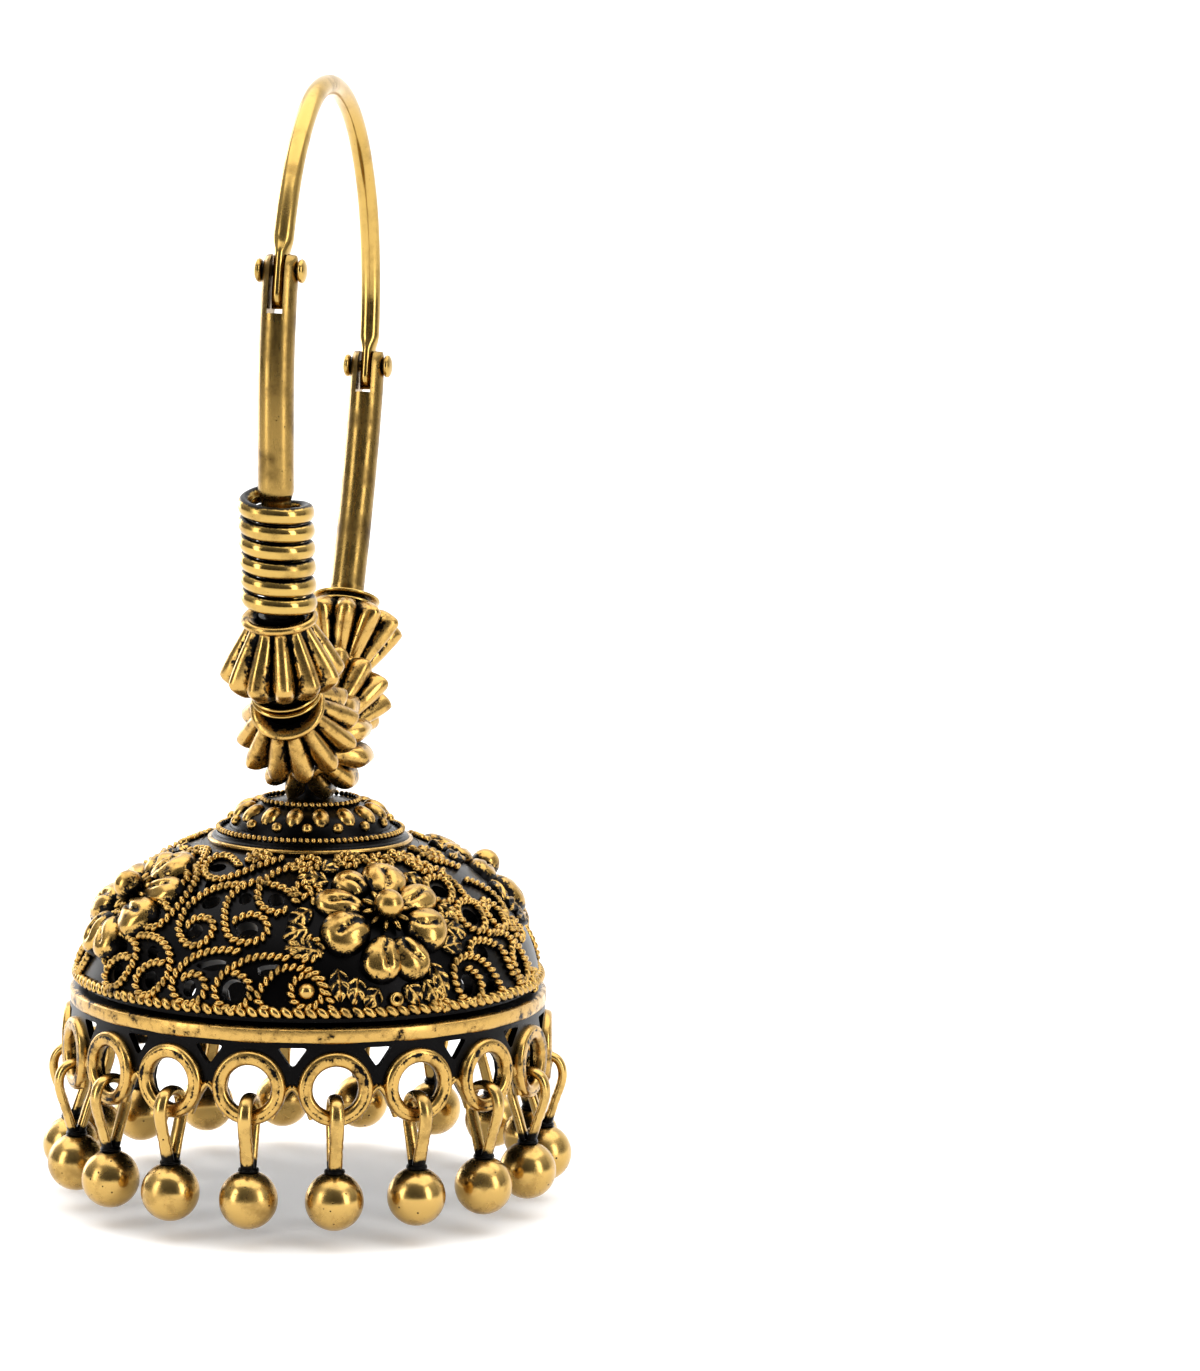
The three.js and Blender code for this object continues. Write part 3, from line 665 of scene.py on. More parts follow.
# Ornament of one half of the dome, in degrees of turn and climb; the other half repeats it.
# scrolls: lines of twisted wire. closed ones end where they start.
scrolls = [
    [(-19, 56.2), (-27.8, 59.2), (-34.9, 58.4), (-35, 54.9), (-31.3, 51.3), (-25.8, 49.3), (-20.7, 49.3),
     (-16.1, 51.8), (-10.9, 55.1), (-6.6, 57.8), (-0.4, 60.5)],
    [(9, 58.2), (4.1, 56.2), (-0.7, 53.8), (-3.2, 50.7), (-4.3, 46.8), (-3.6, 43.2), (-1.7, 40.5),
     (0.8, 38.9), (3.8, 38), (6.2, 39.2)],
    [(-1.9, 48.8), (2.3, 48.2), (6.6, 46), (9.1, 42.5)],
    [(-5.6, 50.2), (-8.8, 48.5), (-11.3, 46.4), (-13.1, 43), (-13, 39.1), (-11.8, 35.2), (-10.3, 31.4),
     (-8.3, 28.6), (-5.4, 27.3), (-2.3, 27.3), (0.7, 29.1), (1.9, 32), (0.6, 35.2), (-2.5, 37), (-5.5, 36.6),
     (-8.2, 34.6)],
    [(-11, 47.9), (-16, 47.2), (-20.2, 45.5), (-23.1, 43.1), (-25, 40), (-25.9, 36.4), (-25.7, 33),
     (-24.9, 29.8), (-22.8, 26.9), (-19.7, 24.7), (-16.6, 24.9), (-14.5, 27.2), (-13.8, 30.4), (-15.3, 33.4),
     (-18.6, 34.5), (-21.5, 33.2), (-22.2, 31.5)],
    [(-37.7, 52.3), (-32.3, 48.9), (-30.1, 45.2), (-29.7, 41.6), (-29.6, 38), (-30, 34.8), (-30.8, 32.2),
     (-32.9, 29), (-37, 28.2), (-40.9, 29.4), (-42.9, 31.9), (-42.4, 34.9), (-39.5, 37.2), (-35.6, 37.1),
     (-33.1, 35.7)],
    [(-47.7, 60.4), (-41.5, 57.3), (-38.4, 54.4), (-37, 51.6)],
    [(-47.8, 14.3), (-47.4, 16.3), (-48.2, 19.4), (-52, 21.2), (-57.4, 21), (-62.9, 17.6), (-67, 12.9),
     (-68.3, 8.6), (-65.6, 5.9), (-63, 7.2), (-61.1, 9.3), (-58.7, 13.5), (-57.2, 17.9)],
    [(-49, 23.1), (-45.7, 24.1), (-40.6, 23.5), (-36.4, 21), (-35.3, 17.4), (-36.2, 13.5), (-38.1, 9.4),
     (-40.6, 6.7), (-43.9, 6.6), (-45.6, 9.1), (-45.2, 12.7), (-42.8, 15.7), (-39.9, 17.5), (-37.8, 17.3)],
    [(-37.1, 25.1), (-33.3, 25.7), (-28.7, 24.8), (-24.8, 21.6), (-23.2, 17.4), (-23.4, 13.1), (-25.7, 9),
     (-28.3, 6.5), (-31.5, 6.9), (-32.9, 9.7), (-32.5, 13.2), (-30.7, 15.7), (-28, 17.5), (-25.9, 17.6)],
    [(-5.4, 24), (-8, 24.3), (-11.5, 23.7), (-14.9, 22.3), (-17.7, 20.3), (-19.8, 17.3), (-21, 14.5),
     (-21.4, 10.9), (-20.3, 8), (-17.8, 5.8), (-14.7, 6.1), (-12.5, 8.6), (-12.1, 12), (-13.5, 14.8),
     (-16.1, 15.5), (-18.2, 14.2)],
    [(7.8, 22.6), (4.4, 23), (1.1, 22.8), (-2.1, 21.7), (-4.8, 19.6), (-7.4, 17.2), (-9, 14.1), (-9.6, 11),
     (-8.5, 7.4), (-6.1, 5.5), (-3.4, 5.5), (-1.2, 7.9), (-0.5, 11.6), (-1.8, 15.2), (-4.7, 16.9)],
    [(3.1, 6.3), (1.2, 9.2), (2.2, 12.9), (3.9, 16), (5.6, 18.2), (8.3, 19.6), (11.5, 19.4), (14.7, 18.2),
     (16.9, 15.4), (17.9, 11.5), (18.6, 9.1), (19.1, 6.4)],
    [(59.3, 61.5), (62.3, 58.7), (65, 55.3), (69, 52.6), (73.8, 50.1)],
    [(77.5, 61.1), (76, 57.5), (79, 54.6), (84, 52.4), (88, 49.5)],
    [(71.4, 49), (72.1, 44.3), (71.2, 38.9), (74, 35.7), (77.7, 33.7)],
    [(59.3, 21.5), (61.2, 24.1), (65.1, 24.2), (69.3, 22.5), (72.3, 19.5), (72.8, 15.9), (73.5, 11.7),
     (76.6, 7.6)],
    [(68.5, 4.9), (66.7, 9.8), (64.7, 14.8), (62, 18.2), (58.9, 19.9), (55.4, 19.9), (52.9, 18.1),
     (51.7, 14.4), (52, 10.5), (53.6, 6.8), (56.6, 5.1), (59.4, 6.8), (60.2, 10), (59.3, 13.6), (57, 16)],
    [(70.1, 25.9), (76.4, 24.6), (79.8, 21.4), (82, 17.3), (83.6, 12.8), (86, 8)],
    [(81.5, 44.5), (85.8, 42), (88.6, 38.6), (88.9, 34.4), (86.6, 30.6), (83.2, 29.4)],
]
closedScrolls = [
    [(-42.4, 39.6), (-45.6, 41.7), (-47.2, 45.7), (-45.1, 48.8), (-38.5, 49.2), (-35.2, 46.5), (-36.2, 43.6),
     (-39.3, 41.3)],
    [(67.6, 48.1), (61.3, 48.4), (58.3, 46.7), (56.6, 43.5), (57.3, 40), (60.7, 38.8), (65.1, 40.7),
     (68, 43.7), (69.1, 47.1)],
    [(71.4, 37.6), (66.5, 38.1), (63.5, 36.4), (61.7, 33), (62.9, 29.7), (66.3, 27.2), (70.5, 28.8),
     (72.3, 32.8), (73.1, 36.6)],
    [(78.6, 36.4), (75.3, 33.6), (74.8, 29.9), (76.3, 26.8), (80, 26.1), (82.4, 29.2), (82.8, 33.2)],
    [(80.3, 20.5), (77, 18.4), (75.6, 14.4), (76.4, 10.2), (79, 7.5), (82, 9.5), (82.5, 14), (82, 18)],
]
# small curls: turn, climb, size in millimetres, direction of the tail in degrees
curls = [
    (12, 58.8, 0.8, 200), (32, 59.2, 0.75, 20), (47.5, 58.6, 0.8, 150), (66, 53.5, 0.7, 60),
    (84, 57.5, 0.7, 230), (87, 24.5, 0.85, 100), (12, 46.5, 0.8, 300), (13.5, 26.5, 0.8, 170),
    (57.5, 33.5, 0.65, 10), (-54, 26.5, 0.9, 240), (47, 6.4, 0.5, 90), (-52, 56, 0.8, 30),
    (63, 58.8, 0.6, 120), (-13, 60.2, 0.6, 0), (86.5, 5.5, 0.5, 60),
]
curlLook = {"turns": 1.3, "outer": 1.25, "closing": 0.11}
ringedGrain = {"at": (13.1, 11.8), "ring": 0.95, "grain": 0.52}  # a granule inside a ring of wire
# openings: turn, climb, half size across and up in millimetres, tilt in degrees
openings = [
    (-4.9, 11, 0.72, 0.74, 0), (-16.7, 10.6, 0.45, 0.52, 0), (-28.6, 11.6, 0.5, 0.62, 30),
    (-41, 11.4, 0.5, 0.62, 30), (-61.9, 13.2, 0.4, 0.75, 40), (-20, 29.7, 0.6, 0.58, 0),
    (-4.3, 31.9, 0.72, 0.6, 0), (2.6, 43.6, 0.55, 0.55, 0), (-37.6, 32.6, 0.6, 0.5, 30),
    (-41.2, 45.2, 0.5, 0.45, 0), (-28.6, 54.6, 0.6, 0.45, 0), (62.8, 43.7, 0.6, 0.55, 0),
    (67.5, 32.8, 0.6, 0.62, 0), (78.6, 31, 0.45, 0.6, 0), (56, 10.6, 0.5, 0.7, 0), (79, 13.6, 0.4, 0.75, 0),
    (-19.2, 40.6, 0.62, 0.5, 30), (-8, 43.3, 0.42, 0.5, 0),
    (-30.6, 20.6, 0.55, 0.4, -40), (-43, 20.3, 0.5, 0.36, -20), (64.6, 20.2, 0.5, 0.5, 20),
]
# gaps between lines of wire, by their corners
gaps = [
    [(-16.6, 18.4), (-10.6, 21.3), (-7.6, 20.6), (-10.6, 17)],
    [(0.6, 19.6), (6.6, 20.6), (3.4, 15.4), (0.9, 16.9)],
    [(61.6, 13.4), (64.4, 11.2), (66.4, 6.4), (61.9, 6.6)], [(-25.6, 45.6), (-20.4, 47.6), (-27, 48.4)],
    [(-27.8, 41), (-25.8, 42.8), (-28.2, 44.6)], [(-9.8, 23.4), (-8.2, 26), (-12, 25.8), (-13, 24.4)],
]


def openingOutlines():
    outlines = []
    for turn, climb, across, up, tilt in openings:
        t = evenAngles(18)
        x, y, lean = across * np.cos(t), up * np.sin(t), math.radians(tilt)
        xy = np.stack([x * math.cos(lean) - y * math.sin(lean), x * math.sin(lean) + y * math.cos(lean)], -1)
        outlines.append(np.stack(flatOnDome(turn, climb, xy), -1))
    for corners in gaps:
        middle = np.mean(corners, 0)
        drawnIn = [middle + (np.array(c) - middle) * 0.92 for c in corners]
        outlines.append(smoothLine(drawnIn, 4, closed=True))
    return outlines


def isInside(point, outline):
    x, y = point
    a, b = outline, np.roll(outline, -1, 0)
    crosses = (a[:, 1] > y) != (b[:, 1] > y)
    with np.errstate(divide="ignore", invalid="ignore"):
        at = a[:, 0] + (y - a[:, 1]) / (b[:, 1] - a[:, 1]) * (b[:, 0] - a[:, 0])
    return np.count_nonzero(crosses & (x < at)) % 2 == 1


def piercedShell(pile, outlines):
    # half of the dome is drawn flat, turn against climb, cut out, and bent to its shape with a wall
    low, high = domeLook["bottom"], domeLook["top"]
    turns, climbs = np.arange(-90, 90.01, 2.0), np.linspace(low, high, 27)
    points = [(t, low) for t in turns] + [(90, c) for c in climbs[1:]]
    points += [(t, high) for t in turns[::-1][1:]] + [(-90, c) for c in climbs[::-1][1:-1]]
    edges = [(i, (i + 1) % len(points)) for i in range(len(points))]
    for outline in outlines:
        start = len(points)
        points += [tuple(p) for p in outline]
        edges += [(start + i, start + (i + 1) % len(outline)) for i in range(len(outline))]

    perDegree = np.array(domeLook["perDegree"])
    centres = [o.mean(0) for o in outlines]
    reaches = [np.linalg.norm((o - c) * perDegree, axis=1).max() for o, c in zip(outlines, centres)]

    def nearOpening(point):
        return any(np.linalg.norm((np.array(point) - c) * perDegree) < reach + domeLook["clearOfHole"]
                   for c, reach in zip(centres, reaches))

    points += [(t, c) for t in turns[1:-1] for c in climbs[1:-1] if not nearOpening((t, c))]
    made = delaunay_2d_cdt([Vector(p * perDegree) for p in np.array(points)], edges, [], 1, 1e-6)
    flat = np.array([tuple(v) for v in made[0]]) / perDegree
    kept = [tuple(f) for f in made[2] if not any(isInside(flat[list(f)].mean(0), o) for o in outlines)]
    solid, borders = walledFaces(flat, kept, 89.99)
    outerWear = np.zeros(len(flat))
    for a, b in borders:
        outerWear[[a, b]] = 0.28
    for half in halves.values():
        sides = [onDome(flat[:, 0] + half, flat[:, 1], lift)[0] for lift in (0, -domeLook["wall"])]
        pile.add(np.vstack(sides), solid, np.r_[outerWear, np.full(len(flat), 0.3)])


bellPile = Pile()
piercedShell(bellPile, openingOutlines())

# Rim under the dome, plain band and the underside of the rosette, turned in one
rimProfile = [
    (14.5, -14.7), (14.55, -14.86), (14.4, -15.3), (14.2, -15.5), (14.2, -15.74), (14.5, -15.9),
    (14.9, -15.98), (15.02, -16.08), (15.05, -16.3), (15.05, -16.6), (15.02, -16.8), (14.93, -16.9),
    (14.6, -16.92),
    (14.3, -16.86), (14.15, -16.7), (13.9, -16), (13.74, -15.2), (13.72, -14.75),
]
rimWear = [0, 0, 0, 0, 0, 0.25, 0.7, 0.95, 0.85, 0.85, 0.95, 0.75, 0.2, 0.3, 0.55, 0.5, 0.4, 0.3]
rosetteProfile = [
    (6.95, -7.1), (6.95, -6.95), (6.6, -6.9), (6.25, -6.72), (6.2, -6.45), (6.12, -6.35), (5.95, -6.3),
    (5.9, -6.15), (5.4, -6.02), (5.1, -5.85), (5.0, -5.4), (4.5, -4.9), (3.9, -4.6), (3.2, -4.45),
    (3.0, -4.3), (2.1, -4.2), (1.35, -4.05), (1.1, -3.7), (1.1, -3.2), (1.2, -2.7), (0.9, -2.6), (0.02, -2.6),
    (0.02, -5.8), (3, -6.2), (5.5, -6.7), (6.6, -7.4),
]


rosetteWear = [0.05] * 18 + [0.4] * 4 + [0.35] * 4
for profile, wear, sides in ((rimProfile, rimWear, 180), (rosetteProfile, rosetteWear, 96)):
    loft(bellPile, turnedRings(profile, sides), np.repeat(wear, sides), loop=True)
makePiece("bell_shell_pierced", bellPile, castBrass, "bell_drop", ["bell"], sharp=40)
print("shell made")


# Bail bead: the same bead with its lobes full for most of its length, so that they hang in front
# of the neck
bailDrop = 0.5  # it hangs on the top of its bore
bailLook = dict(beadLook, bore=1.5, sections=[
    (1.95, 1.95, -2.1, 1), (2.1, 2.1, -2.0, 1), (2.4, 2.05, -1.85, 0.9), (3.25, 2.3, -1.25, 1),
    (3.8, 2.5, -0.85, 1.05), (3.92, 2.55, -0.5, 1.06), (3.92, 2.55, 0.4, 1.06), (3.9, 2.55, 1.05, 1.04),
    (3.82, 2.5, 1.28, 1.02), (3.5, 2.42, 1.58, 0.98), (3.12, 2.34, 1.86, 0.92), (2.7, 2.2, 1.98, 0.8)])
bailPile = Pile()
addFlutedBead(bailPile, place["bailBead"], bailLook, drop=bailDrop)
makePiece("bail_bead_cast", bailPile, castBrass, "bell_drop", sharp=70)

# Twisted wire on the bell
ropeLook = {
    "scroll": {"width": 0.76, "pitch": 0.47},
    "rim": {"width": 1.08, "count": 128, "radius": 14.5, "height": -15.12},
    "rosette": [{"radius": 5.72, "height": -6.02, "width": 0.42, "count": 92},
                {"radius": 2.95, "height": -4.2, "width": 0.4, "count": 46}],
}


def ropeOnDome(pile, places, width, pitch, closed=False, half=0):
    places = np.array(places, float)
    points, _ = onDome(places[:, 0] + half, places[:, 1])
    line, normals = onDome(*toDome(smoothLine(points, 8, closed)))
    addRope(pile, line, normals, width, pitch, closed=closed)


def circleOf(radius, height, count):
    t = 2 * np.pi * np.arange(count) / count
    points = np.stack([radius * np.sin(t), -radius * np.cos(t), np.full(count, height)], -1)
    return points, np.stack([np.sin(t), -np.cos(t), 0 * t], -1)


for side, half in halves.items():
    ropePile = Pile()
    for places in scrolls:
        ropeOnDome(ropePile, places, half=half, **ropeLook["scroll"])
    for places in closedScrolls:
        ropeOnDome(ropePile, places, closed=True, half=half, **ropeLook["scroll"])
    for turn, climb, size, tail in curls:
        t = np.linspace(0, 2 * np.pi * curlLook["turns"], 18)
        reach = size * (curlLook["outer"] - curlLook["closing"] * t)
        flat = np.stack([reach * np.cos(t + math.radians(tail)), reach * np.sin(t + math.radians(tail))], -1)
        ropeOnDome(ropePile, np.stack(flatOnDome(turn, climb, flat), -1), half=half, **ropeLook["scroll"])
    (turn, climb), size = ringedGrain["at"], ringedGrain["ring"]
    flat = [(size * math.cos(t), size * math.sin(t)) for t in evenAngles(16)]
    ring = np.stack(flatOnDome(turn, climb, flat), -1)
    ropeOnDome(ropePile, ring, closed=True, half=half, **ropeLook["scroll"])
    origin, axes = domeAxes(turn + half, climb)
    addGrain(ropePile, origin + axes[2] * 0.15, axes * ringedGrain["grain"], smoothBall)
    makePiece(f"filigree_scrolls_{side}", ropePile, castBrass, "bell_drop", sharp=80)

rimPile = Pile()
rim = ropeLook["rim"]
points, normals = circleOf(rim["radius"], rim["height"], rim["count"])
addRope(rimPile, points, unit(normals + [0, 0, 0.5]), rim["width"],
        2 * math.pi * rim["radius"] / rim["count"], slant=-50, closed=True, lift=0.12, rise=0.3)
for ring in ropeLook["rosette"]:
    points, normals = circleOf(ring["radius"], ring["height"], ring["count"])
    addRope(rimPile, points, unit(normals + [0, 0, 1.0]), ring["width"],
            2 * math.pi * ring["radius"] / ring["count"], slant=-25, closed=True, lift=0.1)
makePiece("rope_rings", rimPile, castBrass, "bell_drop", sharp=80)
print("filigree made")

# Rosette of lobes and granules round the bell's neck
rosetteLook = {
    "lobes": 16, "lobeRadius": 4.15, "lobeHeight": -4.85, "lobeSize": (0.58, 0.86, 0.5), "lobeLean": 32,
    "grainRadius": 4.92, "grainHeight": -5.35, "grainSize": 0.36, "plainRing": (6.3, -6.62, 0.17),
}


def rosette(look):
    pile = Pile()
    for i in range(look["lobes"]):
        for turn, radius, height, size, lean in (
                (i, look["lobeRadius"], look["lobeHeight"], look["lobeSize"], look["lobeLean"]),
                (i + 0.5, look["grainRadius"], look["grainHeight"], [look["grainSize"]] * 3, 45)):
            t, tip = 2 * math.pi * turn / look["lobes"], math.radians(lean)
            out = np.array([math.sin(t), -math.cos(t), 0])
            east = np.array([math.cos(t), math.sin(t), 0])
            up = np.array([0, 0, 1.0])
            axes = [east * size[0], (up * math.sin(tip) - out * math.cos(tip)) * size[1],
                    (out * math.sin(tip) + up * math.cos(tip)) * size[2]]
            addGrain(pile, out * radius + up * height, axes, ballTemplate(14, 9))
    radius, height, size = look["plainRing"]
    points, _ = circleOf(radius, height, 96)
    sweep(pile, points, (0, 0, 1), size, size, 10, loop=True)
    return makePiece("rosette_granules", pile, castBrass, "bell_drop", sharp=80)


rosette(rosetteLook)

# Flowers and leaves on the bell
flowerLook = {
    "centre": (36.8, 37.7), "drawnIn": 0.9, "ball": 0.95, "stamens": 10, "stamenReach": 1.15,
    "stamenSize": (0.16, 0.5, 0.32)}
petalLook = {
    "rows": 9, "columns": 22, "longer": 1.42, "wider": 1.72, "higher": 1.25, "groove": 0.2, "root": 0.35}
leafLook = {"rows": 19, "columns": 13, "halfWidth": 0.68, "height": 0.62, "ribSpacing": 0.68, "root": 0.2}
# petals: turn, climb, half length, half width, direction of the tip in degrees, height
petals = [
    (21.3, 41.7, 1.12, 0.7, 165, 0.8), (22.2, 30.4, 1.15, 0.98, 197, 1.0),
    (27.6, 49.9, 0.86, 0.76, 125, 0.75), (42.1, 50.5, 1.15, 0.98, 62, 0.85),
    (50.9, 41.6, 1.12, 0.74, 12, 0.8), (48.6, 29.9, 1.05, 0.98, -28, 1.0),
    (32, 20.2, 1.12, 0.86, -108, 0.9), (40.3, 19.9, 1.08, 0.82, -68, 0.9),
]
# leaves: base and tip, in turn and climb
sideLeaves = [
    ((20.5, 50.2), (8.7, 52.5)), ((14.4, 39.4), (7.4, 32.9)), ((13.6, 32.3), (6.3, 29.5)),
    ((17.4, 24.4), (6.9, 26.1)), ((54.2, 30.6), (60.5, 26.5)), ((50.7, 24.1), (57.7, 24.1)),
    ((56, 38.4), (60.6, 31.8)), ((52.4, 51.9), (56, 45.8)), ((18.7, 55.3), (26.3, 57.3)),
]
lowLeaves = [
    ((20.7, 19.3), (21.1, 8.4)), ((25.5, 16.4), (24.4, 7.2)), ((30.7, 12.6), (27.2, 6.4)),
    ((37.7, 13.1), (41, 6.6)), ((42.7, 14.4), (45.7, 5.4)), ((45.3, 19.8), (48.4, 7.2)),
]
holedGrain = {"at": (34.9, 8.5), "radius": 0.3, "halfAcross": 0.17, "halfDeep": 0.22}


def addPetal(pile, turn, climb, length, width, direction, height):
    # a puffed petal: pointed at its base, round at its tip, with creases pressed into it
    look = petalLook
    rows, columns = look["rows"], look["columns"]
    origin, axes = domeAxes(turn, climb)
    lean = math.radians(direction)
    forward = axes[0] * math.cos(lean) + axes[1] * math.sin(lean)
    sideways = np.cross(axes[2], forward)
    crease = random.uniform(-0.25, 0.25)
    points, wear = [], []
    for r in range(rows):
        out = (r / (rows - 1)) ** 0.8
        for c in range(columns):
            t = 2 * math.pi * c / columns
            x = math.cos(t) * out
            y = math.sin(t) * out * (1 - 0.22 * (1 - math.cos(t)) * 0.5)
            dome = math.sqrt(max(1 - out * out, 0))
            # a wavy crease down the middle that dies out towards the tip, and a short one at each side
            groove = 1.3 * math.exp(-((y - crease * 0.4 - 0.12 * math.sin(4 * x)) / 0.12) ** 2)
            groove *= 1 if x < 0.35 else max(0, 1 - (x - 0.35) * 4)
            groove += 0.7 * math.exp(-((abs(y) - 0.5) / 0.1) ** 2) * max(0, 0.5 - x)
            z = look["higher"] * height * dome ** 0.7 - look["groove"] * groove * dome - 0.1
            points.append(origin + forward * x * length * look["longer"]
                          + sideways * y * width * look["wider"] + axes[2] * z)
            wear.append(min(1, 0.12 + 1.2 * dome) - 0.55 * min(groove, 1))
    root, rim = len(points), (rows - 1) * columns
    faces = gridFaces(rows, columns) + [(rim + c, rim + (c + 1) % columns, root) for c in range(columns)]
    pile.add(points + [origin - axes[2] * look["root"]], faces, np.array(wear + [0]))


def addLeaf(pile, base, tip, look=leafLook):
    # a pointed leaf with a raised edge, a midrib and slanting ribs
    start, normal = onDome(*base)
    along = onDome(*tip)[0] - start
    length = np.linalg.norm(along)
    side = unit(np.cross(normal, along / length))
    rows, columns = look["rows"], look["columns"]
    top, wear = [], []
    for r in range(rows):
        u = r / (rows - 1)
        outline = math.sin(math.pi * min(u * 0.92 + 0.06, 1))
        for c in range(columns):
            v = c / (columns - 1) * 2 - 1
            spot = start + along * u + side * look["halfWidth"] * outline ** 0.75 * v
            at, up = onDome(*toDome(spot))
            rib = 0.5 + 0.5 * math.cos(2 * math.pi * (u * length / look["ribSpacing"] - abs(v) * 0.9))
            mid = math.exp(-(v / 0.16) ** 2)
            ridge = max(abs(v) ** 3 * 0.7, mid)
            z = look["height"] * outline ** 0.5 * (0.42 + 0.45 * ridge + 0.24 * rib * (1 - mid))
            top.append(at + up * z * (1 - 0.6 * abs(v) ** 8))
            wear.append(0.1 + 0.85 * max(ridge, rib ** 1.5) * (1 if abs(v) < 0.99 else 0.3))
    bottom = [onDome(*toDome(p), -look["root"])[0] for p in top]
    solid, _ = walledFaces(top, gridFaces(rows, columns, closed=False), math.inf)
    pile.add(top + bottom, solid, np.array(wear + [0] * len(top)))


def addFlower(pile, turn, leaves, look=flowerLook):
    middleTurn, middleClimb = look["centre"]
    for t, climb, *rest in petals:
        addPetal(pile, middleTurn + (t - middleTurn) * look["drawnIn"] + turn,
                 middleClimb + (climb - middleClimb) * look["drawnIn"], *rest)
    for base, tip in leaves:
        addLeaf(pile, (base[0] + turn, base[1]), (tip[0] + turn, tip[1]))
    origin, axes = domeAxes(middleTurn + turn, middleClimb)
    addGrain(pile, origin + axes[2] * look["ball"], axes * look["ball"], smoothBall)
    thick, long, tall = look["stamenSize"]
    for t in evenAngles(look["stamens"]):  # from under the centre ball
        direction = axes[0] * math.cos(t) + axes[1] * math.sin(t)
        addGrain(pile, origin + direction * look["stamenReach"] + axes[2] * 0.3,
                 [np.cross(axes[2], direction) * thick, direction * long, axes[2] * tall])


for side, half in halves.items():
    flowerPile = Pile()
    addFlower(flowerPile, half, sideLeaves + lowLeaves)
    addFlower(flowerPile, half - 90, sideLeaves[:4] + sideLeaves[8:])
    turn, climb = holedGrain["at"]
    origin, axes = domeAxes(turn + half, climb)
    ringLine = [origin + axes[2] * 0.2
                + (axes[0] * math.cos(t) + axes[1] * math.sin(t)) * holedGrain["radius"]
                for t in evenAngles(20)]
    sweep(flowerPile, ringLine, axes[2], holedGrain["halfAcross"], holedGrain["halfDeep"], 10, loop=True)
    makePiece(f"flowers_{side}", flowerPile, castBrass, "bell_drop", sharp=60)
print("flowers made")

# Frieze of rings under the band
friezeLook = {
    "count": 18, "circle": 15, "height": -19.66, "outer": 2.3, "hole": 1.38, "thickness": 0.9,
    "webHalf": 0.22, "webTop": -16.85, "gapHalfWidth": 0.85, "gapTop": -17.15, "gapBottom": -18.35,
    "jointGap": 1.42, "jointFall": 1.95,
}


def friezeWeb(pile, look, turn):
    # one cell of the web between the band and the rings, drawn flat and bent round the rim
    half = math.pi * look["circle"] / look["count"]
    height, reach, foot = look["height"], look["outer"] - 0.12, look["height"] + 0.12
    wide, top, bottom = look["gapHalfWidth"], look["gapTop"], look["gapBottom"]
    # half of a gap, with rounded corners, at the right of the cell; its mirror image is at the left
    gap = [(half, top), (half - wide * 0.85, top), (half - wide, top - 0.08),
           (half - wide * 0.93, top - 0.22), (half - 0.16, bottom + 0.1), (half, bottom)]
    arc = [(reach * math.cos(math.radians(a)), height + reach * math.sin(math.radians(a)))
           for a in np.linspace(-50, -130, 13)]
    edge, radius = look["webTop"], look["hole"] * 1.08
    outline = [(-half + wide + 0.05, edge), (half - wide - 0.05, edge), (half, edge)]
    outline += gap + [(half, foot)] + arc + [(-half, foot)]
    outline += [(-x, y) for x, y in gap[::-1]] + [(-half, edge)]
    hole = [(radius * math.cos(t), height + radius * math.sin(t)) for t in evenAngles(28)]
    edges = [(i, (i + 1) % len(outline)) for i in range(len(outline))]
    edges += [(len(outline) + i, len(outline) + (i + 1) % len(hole)) for i in range(len(hole))]
    made = delaunay_2d_cdt([Vector(p) for p in outline + hole], edges, [], 1, 1e-6)
    flat = np.array([tuple(v) for v in made[0]])
    middles = [flat[list(f)].mean(0) - [0, height] for f in made[2]]
    kept = [tuple(f) for f, middle in zip(made[2], middles) if math.hypot(*middle) > look["hole"] * 1.06]
    solid, _ = walledFaces(flat, kept, half - 1e-3)
    angle, layers = math.radians(turn) + flat[:, 0] / look["circle"], []
    for depth in (look["webHalf"], -look["webHalf"]):
        reach = look["circle"] - 0.2 + depth
        layers.append(np.stack([reach * np.sin(angle), -reach * np.cos(angle), flat[:, 1]], -1))
    pile.add(np.vstack(layers), solid, 0.12)


def friezeAxes(turn):
    t = math.radians(turn)
    return np.array([[math.cos(t), math.sin(t), 0], [0, 0, 1.0], [math.sin(t), -math.cos(t), 0]])


def friezeRing(pile, look, turn):
    axes = friezeAxes(turn)
    origin = axes[2] * look["circle"] + np.array([0, 0, look["height"]])
    middle, halfWide = (look["outer"] + look["hole"]) / 2, (look["outer"] - look["hole"]) / 2
    rings, wear = [], []
    for a in evenAngles(44):
        direction = axes[0] * math.cos(a) + axes[1] * math.sin(a)
        ring = []
        for t in evenAngles(18):
            across = halfWide * fuller(math.cos(t), 0.75)
            groove = 0.06 * math.exp(-((across - 0.12) / 0.09) ** 2)  # a scored line round the face
            deep = (look["thickness"] / 2 - groove) * fuller(math.sin(t), 0.8)
            ring.append(origin + direction * (middle + across) + axes[2] * deep)
            wear.append(1 - 0.5 * (groove > 0.03) - 0.45 * (math.sin(t) < -0.3))
        rings.append(ring)
    loft(pile, rings, np.array(wear), loop=True)


